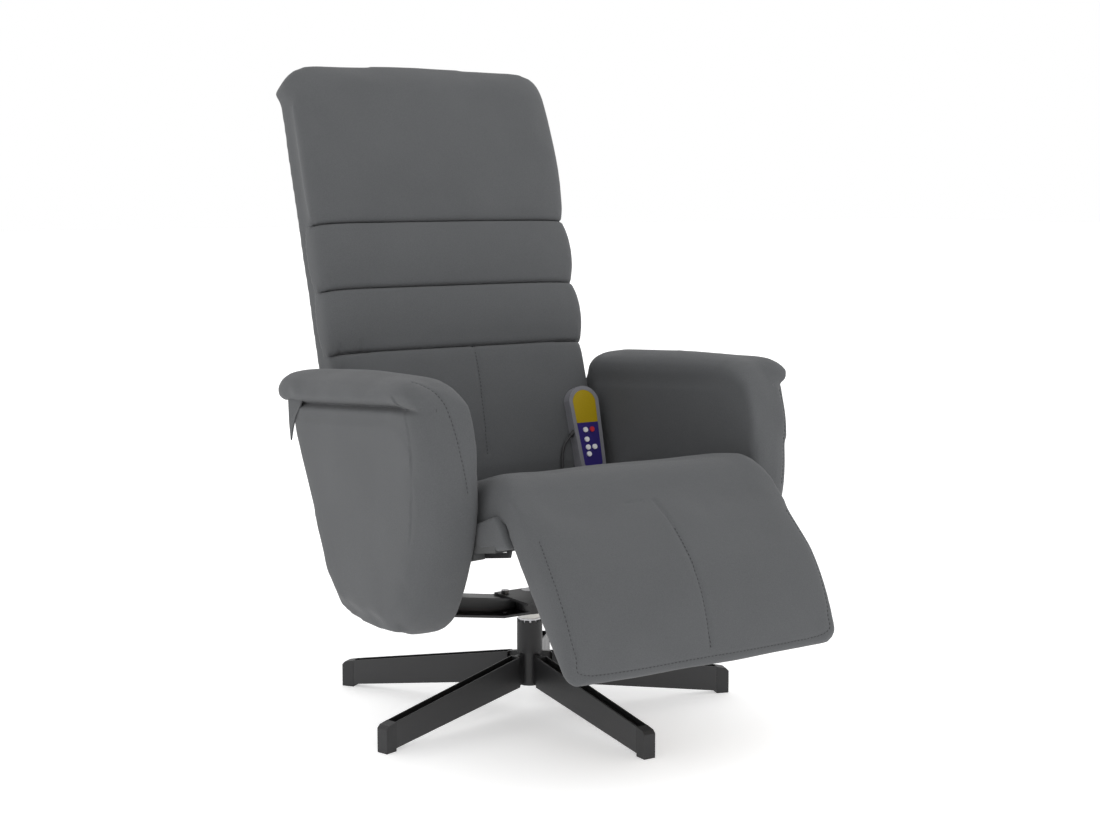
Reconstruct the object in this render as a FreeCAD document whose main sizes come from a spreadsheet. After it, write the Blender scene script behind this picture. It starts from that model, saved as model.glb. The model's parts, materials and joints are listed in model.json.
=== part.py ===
import FreeCAD, Part
import math
import os
import re
from types import SimpleNamespace
from FreeCAD import Placement, Rotation, Vector

# Massage recliner on a five-leg swivel base: millimetres, Z up, the chair faces -Y.
# Lengths are worked out from the column axis, which stands a little behind the origin.

sizes = {
    # Place of the column axis behind the centre of the whole chair
    "column_setback": "34.5",
    # Star base
    "star_reach": "346",
    "star_turn": "-1.5",
    "leg_width": "20",
    "leg_top_inner": "92",
    "leg_top_outer": "43",
    "leg_bottom_inner": "41",
    "leg_lift": "4.5",
    "leg_rim": "2.5",
    "leg_channel_depth": "9",
    "leg_neck_width": "8",
    "leg_neck_length": "14",
    "foot_length": "21",
    "hub_radius": "20.5",
    "hub_bottom": "38",
    "hub_top": "93",
    # Column
    "spindle_radius": "13.5",
    "collar_radius": "19",
    "collar_height": "6",
    "cover_radius": "21",
    "cover_wall": "1.8",
    "cover_height": "54",
    "cover_top": "=hub_top + cover_height",
    "notch_width": "3",
    "notch_depth": "3.5",
    "running_gap": "0.05",
    "seat_gap": "0.3",
    # Crossbar that carries the arms
    "bar_lift": "12",
    "bar_bottom": "=cover_top + bar_lift",
    "bar_height": "33",
    "bar_depth": "40",
    "bar_wall": "4",
    "bar_flat_half": "62",
    "bar_rise": "28",
    "bar_hub_radius": "23",
    "bush_wall": "3",
    "bush_flange_radius": "17.8",
    "end_plate_thick": "4.5",
    "end_plate_front": "-92",
    "end_plate_bottom": "=bar_bottom + bar_rise - bar_wall",
    "end_plate_gap": "3",
    "arm_bolt_front": "-72",
    "arm_bolt_rear": "-22",
    "arm_bolt_drop": "13",
    "bolt_radius": "4",
    "bolt_head_radius": "7",
    "bolt_head_height": "5",
    "bolt_grip": "14",
    "plate_half": "60",
    "plate_front": "-88",
    "plate_rear": "14",
    "plate_thick": "4",
    "spindle_top": "=bar_bottom + bar_height + plate_thick",
    # Arms
    "arm_inner": "255",
    "arm_thick": "90",
    "arm_front": "-264",
    "arm_lift": "31",
    "arm_height": "350",
    "arm_corner_back": "94",
    "arm_corner_drop": "87",
    "arm_fall": "28",
    "arm_bottom": "=bar_bottom + arm_lift",
    "arm_top_front": "=arm_bottom + arm_height",
    "arm_top_rear": "=arm_top_front - arm_fall",
    "arm_skin": "3",
    "arm_board_thick": "18",
    "arm_board_inset": "20",
    "roll_overhang": "12",
    "roll_height": "48",
    # Seat frame and cushion, on a deck that slopes down to the rear
    "deck_front": "-300",
    "deck_lift": "188",
    "deck_height": "=bar_bottom + deck_lift",
    "seat_slope": "10",
    "deck_length": "425",
    "arm_tail": "64",
    "arm_rear": "=deck_front + deck_length + arm_tail",
    "roll_tail": "29",
    "roll_rear": "=arm_rear + roll_tail",
    "deck_thick": "12",
    "rail_thick": "18",
    "rail_front_height": "10",
    "rail_rear_height": "46",
    "rail_tail": "23",
    "apron_thick": "12",
    "apron_height": "20",
    "rail_start": "60",
    "rail_bolt_front": "=deck_length * 6 / 17",
    "rail_bolt_rear": "=deck_length * 66 / 85",
    "seat_half": "248",
    "cushion_front": "-37",
    "crevice": "11",
    "cushion_rear": "=deck_length - crevice",
    "cushion_front_height": "96",
    "cushion_rear_height": "78",
    "cushion_edge": "22",
    # Recline hinge, measured along the deck and square to it
    "recline_behind": "30",
    "recline_along": "=deck_length + recline_behind",
    "rail_length": "=recline_along + rail_tail",
    "recline_drop": "15",
    "recline_pin_radius": "6",
    "bracket_thick": "5",
    # Backrest, measured along its own leaning face from the lowest channel
    "back_behind": "84",
    "groove_lift": "236",
    "groove_back": "=deck_front + deck_length + back_behind",
    "groove_height": "=deck_height + groove_lift",
    "back_lean": "16",
    "back_bottom": "-262",
    "channel_low": "0",
    "channel_mid": "108",
    "channel_top": "221",
    "back_top": "510",
    "back_wrap": "447",
    "head_flare": "6",
    "head_corner_wide": "70",
    "head_corner_tall": "45",
    "back_half": "256",
    "lumbar_half": "252",
    "back_crown": "15",
    "channel_gap": "2",
    "pad_depth": "33",
    "back_board_thick": "12",
    "back_board_half": "238",
    "back_panel_thick": "15",
    "back_panel_half": "256",
    "gusset_wall": "9",
    "gusset_front": "8",
    "wrap_overhang": "13",
    # Footrest, lying flat in its own frame before it is dropped
    "hinge_ahead": "26",
    "hinge_lift": "45",
    "foot_hinge_back": "=deck_front - hinge_ahead",
    "foot_hinge_height": "=deck_height + hinge_lift",
    "foot_drop": "52",
    "foot_length_pad": "265",
    "foot_half": "247",
    "foot_under": "29",
    "foot_crown": "29.5",
    "foot_board_thick": "12",
    "foot_board_half": "222",
    "foot_board_near": "-40",
    "foot_board_far": "-238",
    "foot_pin_radius": "3.5",
    "foot_lug_radius": "7.5",
    "hinge_arm_thick": "4",
    # Parallel linkage between the backrest and the footrest
    "lever_back": "12",
    "lever_down": "65",
    "link_side": "120",
    "link_thick": "5",
    "link_half_height": "7",
    "link_pin_radius": "4",
    "open_pivot_gap": "0.3",
    # Massage units and control box
    "motor_radius": "34",
    "motor_height": "26",
    "motor_side": "128",
    "motor_head": "270",
    "motor_waist": "46",
    "motor_seat": "42",
    "box_side": "52",
    "box_length": "120",
    "box_width": "70",
    "box_height": "34",
    "box_along": "190",
    "inlet_radius": "5",
    # Handset
    "handset_side": "205",
    "handset_foot": "-238",
    "handset_length": "149",
    "handset_wide": "62",
    "handset_narrow": "52",
    "handset_thick": "22",
    "panel_inset": "7",
    "panel_thick": "1",
    "button_radius": "4.5",
    "button_proud": "2.2",
    "button_depth": "6",
    "button_travel": "1",
    "button_side": "7",
    "cord_radius": "2.5",
    "gland_radius": "4.5",
    "gland_length": "14",
}

doc = FreeCAD.newDocument("massage_recliner")
sheet = doc.addObject("Spreadsheet::Sheet", "Sizes")
for row, (alias, value) in enumerate(sizes.items(), 1):
    sheet.set(f"A{row}", alias)
    sheet.set(f"B{row}", value)
    sheet.setAlias(f"B{row}", alias)
doc.recompute()
v = SimpleNamespace(**{alias: float(sheet.get(alias)) for alias in sizes})
parts = []


def formula(text):
    """Write a sum of aliases as an expression on the sheet."""
    return re.sub(r"[a-z_]{3,}", lambda m: "Sizes." + m[0] if m[0] in sizes else m[0], text)


def bind(thing, **texts):
    """Tie properties of an object to the sheet; Base_x stands for Placement.Base.x."""
    for name, text in texts.items():
        path = name.replace("Base_", "Placement.Base.").replace("Turn", "Placement.Rotation.Angle")
        thing.setExpression(path, formula(text))


# Frames: the column, the sloping deck, the leaning back and the dropped footrest

frames = {
    "column": ("column_setback", "0", "0"),
    "seat": ("column_setback + deck_front", "deck_height", "-seat_slope"),
    "back": ("column_setback + groove_back", "groove_height", "-back_lean"),
    "foot": ("column_setback + foot_hinge_back", "foot_hinge_height", "foot_drop"),
}
origins = {
    "column": (0, 0, 0),
    "seat": (v.deck_front, v.deck_height, -v.seat_slope),
    "back": (v.groove_back, v.groove_height, -v.back_lean),
    "foot": (v.foot_hinge_back, v.foot_hinge_height, v.foot_drop),
}


def settle(thing, frame):
    """Put a finished sub-part into its frame and keep it for export."""
    back, height, turn = frames[frame]
    thing.Placement = Placement(Vector(), Rotation(Vector(1, 0, 0), 1))
    bind(thing, Base_y=back, Base_z=height, Turn=turn)
    parts.append(thing)
    return thing


def outward(frame, y, z):
    """Column coordinates of a point given in a frame."""
    back, height, turn = origins[frame]
    a = math.radians(turn)
    return back + y * math.cos(a) - z * math.sin(a), height + y * math.sin(a) + z * math.cos(a)


def inward(frame, y, z):
    """Frame coordinates of a point given from the column."""
    back, height, turn = origins[frame]
    a = math.radians(turn)
    return ((y - back) * math.cos(a) + (z - height) * math.sin(a),
            (z - height) * math.cos(a) - (y - back) * math.sin(a))


# Solids made of primitives in a body

spins = {"X": Rotation(Vector(0, 1, 0), 90), "Y": Rotation(Vector(1, 0, 0), -90), "Z": Rotation()}


def new_body(label, frame="column"):
    body = doc.addObject("PartDesign::Body", label)
    body.Label = label
    return settle(body, frame)


def block(body, x, y, z, cut=False):
    """A box from (low, high) pairs of formulas."""
    kind = "PartDesign::SubtractiveBox" if cut else "PartDesign::AdditiveBox"
    box = body.newObject(kind, body.Label + ("_notch" if cut else "_block"))
    for prop, base, (low, high) in zip(("Length", "Width", "Height"), "xyz", (x, y, z)):
        bind(box, **{prop: f"({high}) - ({low})", "Base_" + base: low})
    return box


def rod(body, axis, start, radius, length, cut=False):
    """A cylinder from its start point along an axis."""
    kind = "PartDesign::SubtractiveCylinder" if cut else "PartDesign::AdditiveCylinder"
    cylinder = body.newObject(kind, body.Label + ("_bore" if cut else "_rod"))
    cylinder.Placement = Placement(Vector(), spins[axis])
    bind(cylinder, Radius=radius, Height=length)
    bind(cylinder, Base_x=start[0], Base_y=start[1], Base_z=start[2])
    return cylinder


def side_span(side, inner, outer):
    """Low and high X of a piece between two distances from the middle plane."""
    return (inner, outer) if side > 0 else (f"-({outer})", f"-({inner})")


def plane_of(body, role):
    return next(o for o in body.Origin.OriginFeatures if o.Role == role)


def outline_sketch(body, role, edges):
    """A sketch of lines (2 points) and arcs (3 points), joined end to end."""
    sketch = body.newObject("Sketcher::SketchObject", body.Label + "_outline")
    sketch.AttachmentSupport = (plane_of(body, role), [""])
    sketch.MapMode = "FlatFace"
    for points in edges:
        spots = [Vector(a, b, 0) for a, b in points]
        sketch.addGeometry(Part.LineSegment(*spots) if len(spots) == 2 else Part.Arc(*spots))
    return sketch


def padded(body, role, edges, length, offset="0", cut=False):
    """Pad or pocket an outline by a bound length, from a bound offset of its plane."""
    sketch = outline_sketch(body, role, edges)
    sketch.setExpression("AttachmentOffset.Base.z", formula(offset))
    kind = "PartDesign::Pocket" if cut else "PartDesign::Pad"
    feature = body.newObject(kind, body.Label + ("_pocket" if cut else "_pad"))
    feature.Profile = sketch
    feature.setExpression("Length", formula(length))
    return feature


def polygon(*points):
    return [(a, b) for a, b in zip(points, points[1:] + points[:1])]


# Soft forms: ruled lofts along X through lines and arcs

def wire_at(x, edges):
    shapes = []
    for points in edges:
        spots = [Vector(x, y, z) for y, z in points]
        shapes.append(Part.makeLine(*spots) if len(spots) == 2 else Part.Arc(*spots).toShape())
    return Part.Wire(shapes)


def edge_steps(radius, steps=3):
    """Distances in from the side and from the face along a rounded edge."""
    turns = [math.radians(90 * k / steps) for k in range(steps + 1)]
    return [(radius * (1 - math.cos(a)), radius * (1 - math.sin(a))) for a in turns]


def cushion_solid(profile, half, edge, crown):
    """A pad whose sides draw in round the edge and whose middle swells by the crown."""
    rim = [(half - across, inset) for across, inset in edge_steps(edge)]
    right = [(x, inset) for x, inset in rim]
    stations = [(-x, inset) for x, inset in right] + [(0.0, -crown)] + right[::-1]
    return Part.makeLoft([wire_at(x, profile(inset)) for x, inset in stations], True, True)


def soft(label, shape, frame):
    feature = doc.addObject("Part::Feature", label)
    feature.Label = label
    feature.Shape = shape
    return settle(feature, frame)


def slab(x, y, z):
    """A plain box shape between low and high corners, used to hollow a soft form."""
    return Part.makeBox(x[1] - x[0], y[1] - y[0], z[1] - z[0], Vector(x[0], y[0], z[0]))


def disc(x, y, z, radius, length, axis):
    return Part.makeCylinder(radius, length, Vector(x, y, z), axis)


# Star base

def base_hub():
    body = new_body("base_hub")
    rod(body, "Z", ("0", "0", "hub_bottom"), "hub_radius", "hub_top - hub_bottom")
    rod(body, "Z", ("0", "0", "hub_bottom"), "spindle_radius + running_gap", "hub_top - hub_bottom", True)


def leg_line(r, inner, outer):
    """Height along a straight edge of a leg at a distance from the axis."""
    share = (r - v.hub_radius) / (v.star_reach - v.hub_radius)
    return inner + (outer - inner) * share


def base_leg(number):
    turn = Rotation(Vector(0, 0, 1), 270 + v.star_turn + 72 * number)
    body = doc.addObject("PartDesign::Body", f"base_leg_{number + 1}")
    body.Label = f"base_leg_{number + 1}"
    near = v.hub_radius * 0.7
    far = v.star_reach - v.foot_length
    top_near = leg_line(near, v.leg_top_inner, v.leg_top_outer)
    top_far = leg_line(far, v.leg_top_inner, v.leg_top_outer)
    side = polygon((near, v.leg_bottom_inner), (far, v.leg_lift), (far, top_far), (near, top_near))
    pad = padded(body, "XZ_Plane", side, "leg_width")
    pad.Midplane = True
    rod(body, "Z", ("0", "0", "0"), "hub_radius", "leg_top_inner * 2", True)
    slope = math.degrees(math.atan2(top_near - top_far, far - near))
    for low, high in (("-leg_width", "-leg_neck_width / 2"), ("leg_neck_width / 2", "leg_width")):
        block(body, ("0", "hub_radius + leg_neck_length"), (low, high), ("0", "leg_top_inner * 2"), True)
    channel = block(body, ("0", "star_reach"), ("leg_rim - leg_width / 2", "leg_width / 2 - leg_rim"),
                    ("0", "leg_channel_depth * 2"), True)
    channel.Placement = Placement(Vector(), Rotation(Vector(0, 1, 0), slope))
    lift = leg_line(0, v.leg_top_inner, v.leg_top_outer)
    bind(channel, Base_x="hub_radius + leg_neck_length + leg_rim", Base_y="leg_rim - leg_width / 2")
    start = v.hub_radius + v.leg_neck_length + v.leg_rim
    channel.Placement.Base.z = lift - math.tan(math.radians(slope)) * start \
        - v.leg_channel_depth / math.cos(math.radians(slope))
    body.Placement = Placement(Vector(0, 0, 0), turn)
    bind(body, Base_y="column_setback")
    parts.append(body)


def foot_caps():
    """Moulded ends of the legs, each with a short foot that stands on the floor."""
    near = v.star_reach - v.foot_length
    top = [leg_line(r, v.leg_top_inner, v.leg_top_outer) for r in (near, v.star_reach)]
    bevel = v.leg_rim * 2
    side = polygon((near, 0), (v.star_reach, 0), (v.star_reach, top[1] - bevel),
                   (v.star_reach - bevel, top[1]), (near, top[0]))
    face = Part.Face(Part.makePolygon([Vector(r, -v.leg_width / 2, z) for (r, z), _ in side + side[:1]]))
    cap = face.extrude(Vector(0, v.leg_width, 0))
    turned = []
    for number in range(5):
        copy = cap.copy()
        copy.rotate(Vector(), Vector(0, 0, 1), 270 + v.star_turn + 72 * number)
        turned.append(copy)
    soft("foot_caps", Part.makeCompound(turned), "column")


def spindle():
    body = new_body("spindle")
    rod(body, "Z", ("0", "0", "hub_bottom"), "spindle_radius", "spindle_top - hub_bottom")
    rod(body, "Z", ("0", "0", "cover_top - collar_height / 2"), "collar_radius", "collar_height")


def column_cover():
    body = new_body("column_cover")
    height = "cover_top - hub_top"
    rod(body, "Z", ("0", "0", "hub_top"), "cover_radius", height)
    rod(body, "Z", ("0", "0", "hub_top + cover_wall"), "collar_radius + seat_gap", height, True)
    rod(body, "Z", ("0", "0", "hub_top"), "spindle_radius + seat_gap", height, True)
    across = ("-notch_width / 2", "notch_width / 2")
    notch = block(body, ("collar_radius - notch_width", "cover_radius * 2"), across,
                  ("cover_top - notch_depth", "cover_top * 2"), True)
    ring = body.newObject("PartDesign::PolarPattern", "cover_notches")
    ring.Originals = [notch]
    ring.Axis = (next(o for o in body.Origin.OriginFeatures if o.Role == "Z_Axis"), [""])
    ring.Occurrences = 12
    body.Tip = ring


# Swivel and crossbar

bar_top = v.bar_bottom + v.bar_height


def rail_edge():
    """Lower edge of a seat rail, front and rear ends, in the seat frame."""
    near = (v.rail_start, -v.deck_thick - v.rail_front_height)
    return near, (v.rail_length, -v.deck_thick - v.rail_rear_height)


def plate_top():
    """Height of the crossbar's end plates: just under the rails at the bar's rear face."""
    (near_y, near_z), (far_y, far_z) = [outward("seat", *spot) for spot in rail_edge()]
    share = (v.bar_depth / 2 - near_y) / (far_y - near_y)
    return near_z + (far_z - near_z) * share - v.end_plate_gap


arm_bolt_height = plate_top() - v.arm_bolt_drop
bar_end = v.arm_inner - v.end_plate_thick - v.seat_gap


def crossbar():
    """Pressed channel, open to the front, whose ends rise to plates against the arms."""
    body = new_body("crossbar")

    def ribbon(wall):
        low, high = v.bar_bottom + wall, bar_top - wall
        rise = v.bar_rise
        flat = v.bar_flat_half
        return polygon((-bar_end, low + rise), (-flat, low), (flat, low), (bar_end, low + rise),
                       (bar_end, high + rise), (flat, high), (-flat, high), (-bar_end, high + rise))

    solid = padded(body, "XZ_Plane", ribbon(0), "bar_depth")
    solid.Midplane = True
    hollow = padded(body, "XZ_Plane", ribbon(v.bar_wall), "bar_depth", "bar_wall - bar_depth / 2", True)
    hollow.Reversed = True
    for side in (-1, 1):
        plate = side_span(side, "arm_inner - end_plate_thick - seat_gap", "arm_inner - seat_gap")
        block(body, plate, ("end_plate_front", "bar_depth / 2"), ("end_plate_bottom", str(plate_top())))
    rod(body, "Z", ("0", "0", "bar_bottom"), "bar_hub_radius", "bar_height")
    rod(body, "Z", ("0", "0", "0"), "spindle_radius + running_gap + bush_wall", "bar_bottom * 2", True)
    for bolt in ("arm_bolt_front", "arm_bolt_rear"):
        rod(body, "X", ("-arm_inner", bolt, str(arm_bolt_height)), "bolt_radius + seat_gap",
            "arm_inner * 2", True)
    for x in ("-plate_half * 0.8", "plate_half * 0.8"):
        rod(body, "Z", (x, "0", "bar_bottom"), "bolt_radius", "bar_height * 2", True)


def swivel_bush():
    body = new_body("swivel_bush")
    flange_low = "cover_top + collar_height / 2"
    rod(body, "Z", ("0", "0", flange_low), "spindle_radius + running_gap + bush_wall",
        "bar_bottom + bar_height - cover_top - collar_height / 2")
    rod(body, "Z", ("0", "0", flange_low), "bush_flange_radius",
        "bar_bottom - cover_top - collar_height / 2")
    rod(body, "Z", ("0", "0", "0"), "spindle_radius + running_gap", "bar_bottom * 2", True)


def swivel_plate():
    body = new_body("swivel_plate")
    block(body, ("-plate_half", "plate_half"), ("plate_front", "plate_rear"),
          ("bar_bottom + bar_height", "bar_bottom + bar_height + plate_thick"))
    rod(body, "Z", ("0", "0", "bar_bottom"), "spindle_radius + running_gap", "bar_height * 2", True)
    for x in ("-plate_half * 0.8", "plate_half * 0.8"):
        rod(body, "Z", (x, "0", "bar_bottom"), "bolt_radius", "bar_height * 2", True)


def plate_bolts():
    """Two hexagon bolts that hold the plate on the crossbar."""
    bolts = []
    for x in (-0.8 * v.plate_half, 0.8 * v.plate_half):
        top = bar_top + v.plate_thick
        foot = bar_top - v.bar_wall * 2
        shank = disc(x, 0, foot, v.bolt_radius, top - foot, Vector(0, 0, 1))
        bolts.append(shank.fuse(hexagon(Vector(x, 0, top), Vector(0, 0, 1))).removeSplitter())
    soft("plate_bolts", Part.makeCompound(bolts), "column")


def hexagon(foot, axis):
    """A hexagon bolt head standing on its foot point."""
    turn = Rotation(Vector(0, 0, 1), axis)
    reach = [turn.multVec(Rotation(Vector(0, 0, 1), 60 * k).multVec(Vector(v.bolt_head_radius, 0, 0)))
             for k in range(7)]
    corners = [foot + step for step in reach]
    return Part.Face(Part.makePolygon(corners)).extrude(axis * v.bolt_head_height)


# Arms

def arm_corner():
    """Start, middle and end of the rounded corner at the front of an arm's top."""
    front, top = v.arm_front, v.arm_top_front
    share = 1 - math.sqrt(0.5)
    return [(front + v.arm_corner_back, top),
            (front + v.arm_corner_back * share, top - v.arm_corner_drop * share),
            (front, top - v.arm_corner_drop)]


arm_length = v.arm_rear - v.arm_front


def arm_sole():
    """Front and rear ends of the flat underside of an arm."""
    return v.arm_front + arm_length * 0.32, v.arm_rear - arm_length * 0.508


def arm_outline(inset):
    """Side outline of an arm below its roll, drawn in by an inset on every side."""
    middle_y = (v.arm_front + v.arm_rear) / 2
    middle_z = (v.arm_bottom + v.arm_top_front) / 2
    share_y = 1 - inset / (v.arm_rear - middle_y)
    share_z = 1 - inset / (v.arm_top_front - middle_z)

    def spot(y, z):
        return middle_y + (y - middle_y) * share_y, middle_z + (z - middle_z) * share_z

    front, rear, bottom = v.arm_front, v.arm_rear, v.arm_bottom
    corner = [spot(y, z) for y, z in arm_corner()]
    front_low = spot(front + 52, bottom + 46)
    sole_front, sole_rear = [spot(y, bottom) for y in arm_sole()]
    heel = spot(rear - arm_length * 0.283, bottom + 43)
    tail = spot(rear, v.arm_top_rear)
    return [
        (tail, corner[0]),
        (corner[0], corner[1], corner[2]),
        (corner[2], spot(front + 10, bottom + 140), front_low),
        (front_low, spot(front + arm_length * 0.196, bottom + 10), sole_front),
        (sole_front, sole_rear),
        (sole_rear, spot(rear - arm_length * 0.384, bottom + 9), heel),
        (heel, spot(rear - arm_length * 0.159, bottom + 160), tail),
    ]


arm_steps = [(0, 10), (3, 4), (9, 0), (50, 0), (70, 5), (82, 14), (90, 30)]


def arm_pad(side, name):
    depth = v.arm_thick / arm_steps[-1][0]
    wires = [wire_at(side * (v.arm_inner + x * depth), arm_outline(inset)) for x, inset in arm_steps]
    pad = Part.makeLoft(wires, True, True)
    near = v.arm_inner + v.arm_skin - v.seat_gap
    deep = v.arm_board_thick + 2 * v.seat_gap
    board = Part.Face(wire_at(side * near, arm_outline(v.arm_board_inset - v.seat_gap)))
    tools = [board.extrude(Vector(side * deep, 0, 0))]
    sole = arm_sole()
    edge = (sole[1] - sole[0]) / 4
    mouth = (sole[0] + edge, sole[1] - edge)
    span = sorted((side * near, side * (near + deep)))
    tools.append(slab(span, mouth, (v.arm_bottom - 1, v.arm_bottom + v.arm_board_inset + 1)))
    for y, z in arm_bolt_spots() + rail_bolt_spots():
        tools.append(disc(side * (v.arm_inner - 1), y, z, v.bolt_radius + v.seat_gap, v.arm_skin + 2,
                          Vector(side, 0, 0)))
    soft(f"arm_pad_{name}", pad.cut(tools), "column")


def arm_bolt_spots():
    """Side-view places of the bolts through the crossbar's end plates."""
    return [(y, arm_bolt_height) for y in (v.arm_bolt_front, v.arm_bolt_rear)]


def rail_bolt_spots():
    """Side-view places, from the column, of the bolts that hold a seat rail to an arm."""
    return [outward("seat", along, -v.deck_thick - v.rail_front_height * 0.9)
            for along in (v.rail_bolt_front, v.rail_bolt_rear)]


def arm_board(side, name):
    body = new_body(f"arm_board_{name}")
    low = side_span(side, "arm_inner + arm_skin", "arm_inner + arm_skin + arm_board_thick")[0]
    padded(body, "YZ_Plane", arm_outline(v.arm_board_inset), "arm_board_thick", low)
    start = side_span(side, "arm_inner", "arm_inner + arm_skin + bolt_grip")[0]
    grip = "bolt_grip + arm_skin"
    for bolt in ("arm_bolt_front", "arm_bolt_rear"):
        rod(body, "X", (start, bolt, str(arm_bolt_height)), "bolt_radius", grip, True)
    for y, z in rail_bolt_spots():
        rod(body, "X", (start, str(y), str(z)), "bolt_radius", grip, True)


def roll_rest(y):
    """Height of an arm's top under its roll: a slope, then the arc round the front corner."""
    start, middle, end = arm_corner()
    if y >= start[0]:
        fall = (v.arm_top_rear - v.arm_top_front) / (v.arm_rear - start[0])
        return v.arm_top_front + fall * (y - start[0]) + v.seat_gap
    circle = Part.Arc(*[Vector(0, *spot) for spot in (start, middle, end)]).toShape().Curve
    drop = math.sqrt(circle.Radius ** 2 - (y - circle.Center.y) ** 2)
    return circle.Center.z + drop + (v.seat_gap + 0.6) * circle.Radius / drop


def roll_stations():
    """Rounded rear tip, straight middle and tapered front: place along, width, foot and top."""
    full = v.arm_thick + v.roll_overhang
    start = v.arm_front + v.arm_corner_back
    rows = []
    tip = [(0, 0.5, 0.42), (3, 0.76, 0.72), (11, 0.93, 0.94), (28, 1, 1.08), (120, 1, 1.02)]
    for back, wide, tall in tip:
        foot = roll_rest(v.roll_rear - back)
        short = v.roll_height * min(0, tall - 1)
        rows.append((v.roll_rear - back, full * wide, full * (1 - wide) / 2, foot - short * 0.6,
                     foot + v.roll_height * max(1, tall) + short * 0.4))
    for turn in (0, 12, 24, 36, 48, 58, 67, 74):
        along = math.sin(math.radians(turn))
        y = start - v.arm_corner_back * along
        swell = (v.arm_corner_drop + v.roll_height) * math.cos(math.radians(turn))
        top = v.arm_top_front - v.arm_corner_drop + swell
        near = 6 * along ** 2
        rows.append((y, full - 30 * along ** 3 - near, near, roll_rest(y), top))
    return rows


def arm_roll(side, name):
    """Padded roll along the top of an arm, overhanging outwards and flowing into its front."""
    wires = []
    for y, width, near, low, top in roll_stations():
        half = width / 2
        middle = side * (v.arm_inner + near + half)
        brow = (top - low) / 12
        waist = low + (top - low) * 0.22
        rows = [(-0.8, low), (0.8, low), (0.96, waist), (1, (low + top) / 2), (0.62, top - brow), (0, top),
                (-0.62, top - brow), (-1, (low + top) / 2), (-0.96, waist), (-0.8, low)]
        spots = [Vector(middle + share * half, y, z) for share, z in rows]
        edges = [Part.makeLine(spots[0], spots[1])]
        edges += [Part.Arc(*spots[first:first + 3]).toShape() for first in (1, 3, 5, 7)]
        wires.append(Part.Wire(edges))
    soft(f"arm_roll_{name}", Part.makeLoft(wires, True, True), "column")


def frame_bolts():
    """Bolts through the seat rails and the crossbar's end plates into the arm boards."""
    bolts = []
    plates = [(y, z, v.end_plate_thick + v.seat_gap) for y, z in arm_bolt_spots()]
    rails = [(y, z, v.rail_thick + v.seat_gap) for y, z in rail_bolt_spots()]
    for side in (-1, 1):
        for y, z, depth in plates + rails:
            head = Vector(side * (v.arm_inner - depth), y, z)
            shank = disc(head.x, y, z, v.bolt_radius, depth + v.arm_skin + v.bolt_grip, Vector(side, 0, 0))
            bolts.append(shank.fuse(hexagon(head, Vector(-side, 0, 0))).removeSplitter())
    soft("frame_bolts", Part.makeCompound(bolts), "column")


# Seat

def seat_rail(side, name):
    """Tapered side rail, bolted to an arm, whose rear end carries the recline pin."""
    body = new_body(f"seat_rail_{name}", "seat")
    under = -v.deck_thick
    near, far = rail_edge()
    outline = polygon((near[0], under), near, far, (far[0], under))
    low = side_span(side, "arm_inner - seat_gap - rail_thick", "arm_inner - seat_gap")[0]
    padded(body, "YZ_Plane", outline, "rail_thick", low)
    across = "arm_inner * 2"
    pin = ("-arm_inner", "recline_along", "-recline_drop - deck_thick")
    rod(body, "X", pin, "recline_pin_radius + running_gap", across, True)
    for along in ("rail_bolt_front", "rail_bolt_rear"):
        bolt = ("-arm_inner", along, "-deck_thick - rail_front_height * 0.9")
        rod(body, "X", bolt, "bolt_radius + seat_gap", across, True)


def seat_deck():
    body = new_body("seat_deck", "seat")
    block(body, ("seat_gap - arm_inner", "arm_inner - seat_gap"), ("0", "deck_length"), ("-deck_thick", "0"))


def seat_apron():
    """Padded fascia across the deck's front edge, open where the push rod's lever swings."""
    body = new_body("seat_apron", "seat")
    half = "arm_inner - rail_thick - hinge_arm_thick - seat_gap * 7"
    block(body, (f"-({half})", half), ("-seat_gap - apron_thick", "-seat_gap"),
          ("-deck_thick", "apron_height - deck_thick"))
    block(body, ("link_side - 9", "link_side + link_thick + 12"), ("-apron_thick * 2", "0"),
          ("-deck_thick * 2", "apron_height"), True)


def seat_profile(inset):
    """Side section of the seat cushion: rounded front lip, dished top, upright rear."""
    tuck = max(inset, 0)
    low = v.seat_gap + tuck * 0.6
    lip = v.cushion_front + tuck
    rear = v.cushion_rear - tuck
    front_top = v.cushion_front_height - inset
    rear_top = v.cushion_rear_height - inset
    return [
        ((rear - 6, low), (14 + tuck, low)),
        ((14 + tuck, low), (lip + 9, 44 + tuck * 0.3)),
        ((lip + 9, 44 + tuck * 0.3), (lip + 1, 50), (lip, 56)),
        ((lip, 56), (lip + 16, front_top - 14), (lip + 47, front_top)),
        ((lip + 47, front_top), ((lip + rear) / 2, (front_top + rear_top) / 2 - 5), (rear - 24, rear_top)),
        ((rear - 24, rear_top), (rear - 7, rear_top - 7), (rear, rear_top - 24)),
        ((rear, rear_top - 24), (rear - 6, low)),
    ]


def hinge_relief(frame, side):
    """Hollow round a footrest hinge, cut out of a cushion in its own frame."""
    y, z = inward(frame, v.foot_hinge_back, v.foot_hinge_height)
    outer = v.arm_inner - v.seat_gap - v.rail_thick + 1
    start = side * outer if side < 0 else outer - 3 * v.hinge_arm_thick - 3
    return disc(start, y, z, v.foot_lug_radius + 3.5, 3 * v.hinge_arm_thick + 3, Vector(1, 0, 0))


def motor_pockets(spots, axis_turn):
    """Round hollows for massage units; a spot is the foot centre on the board."""
    radius, depth = v.motor_radius + v.seat_gap, v.motor_height + 1 + v.seat_gap
    return [disc(x, y, z, radius, depth, axis_turn) for x, y, z in spots]


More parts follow.
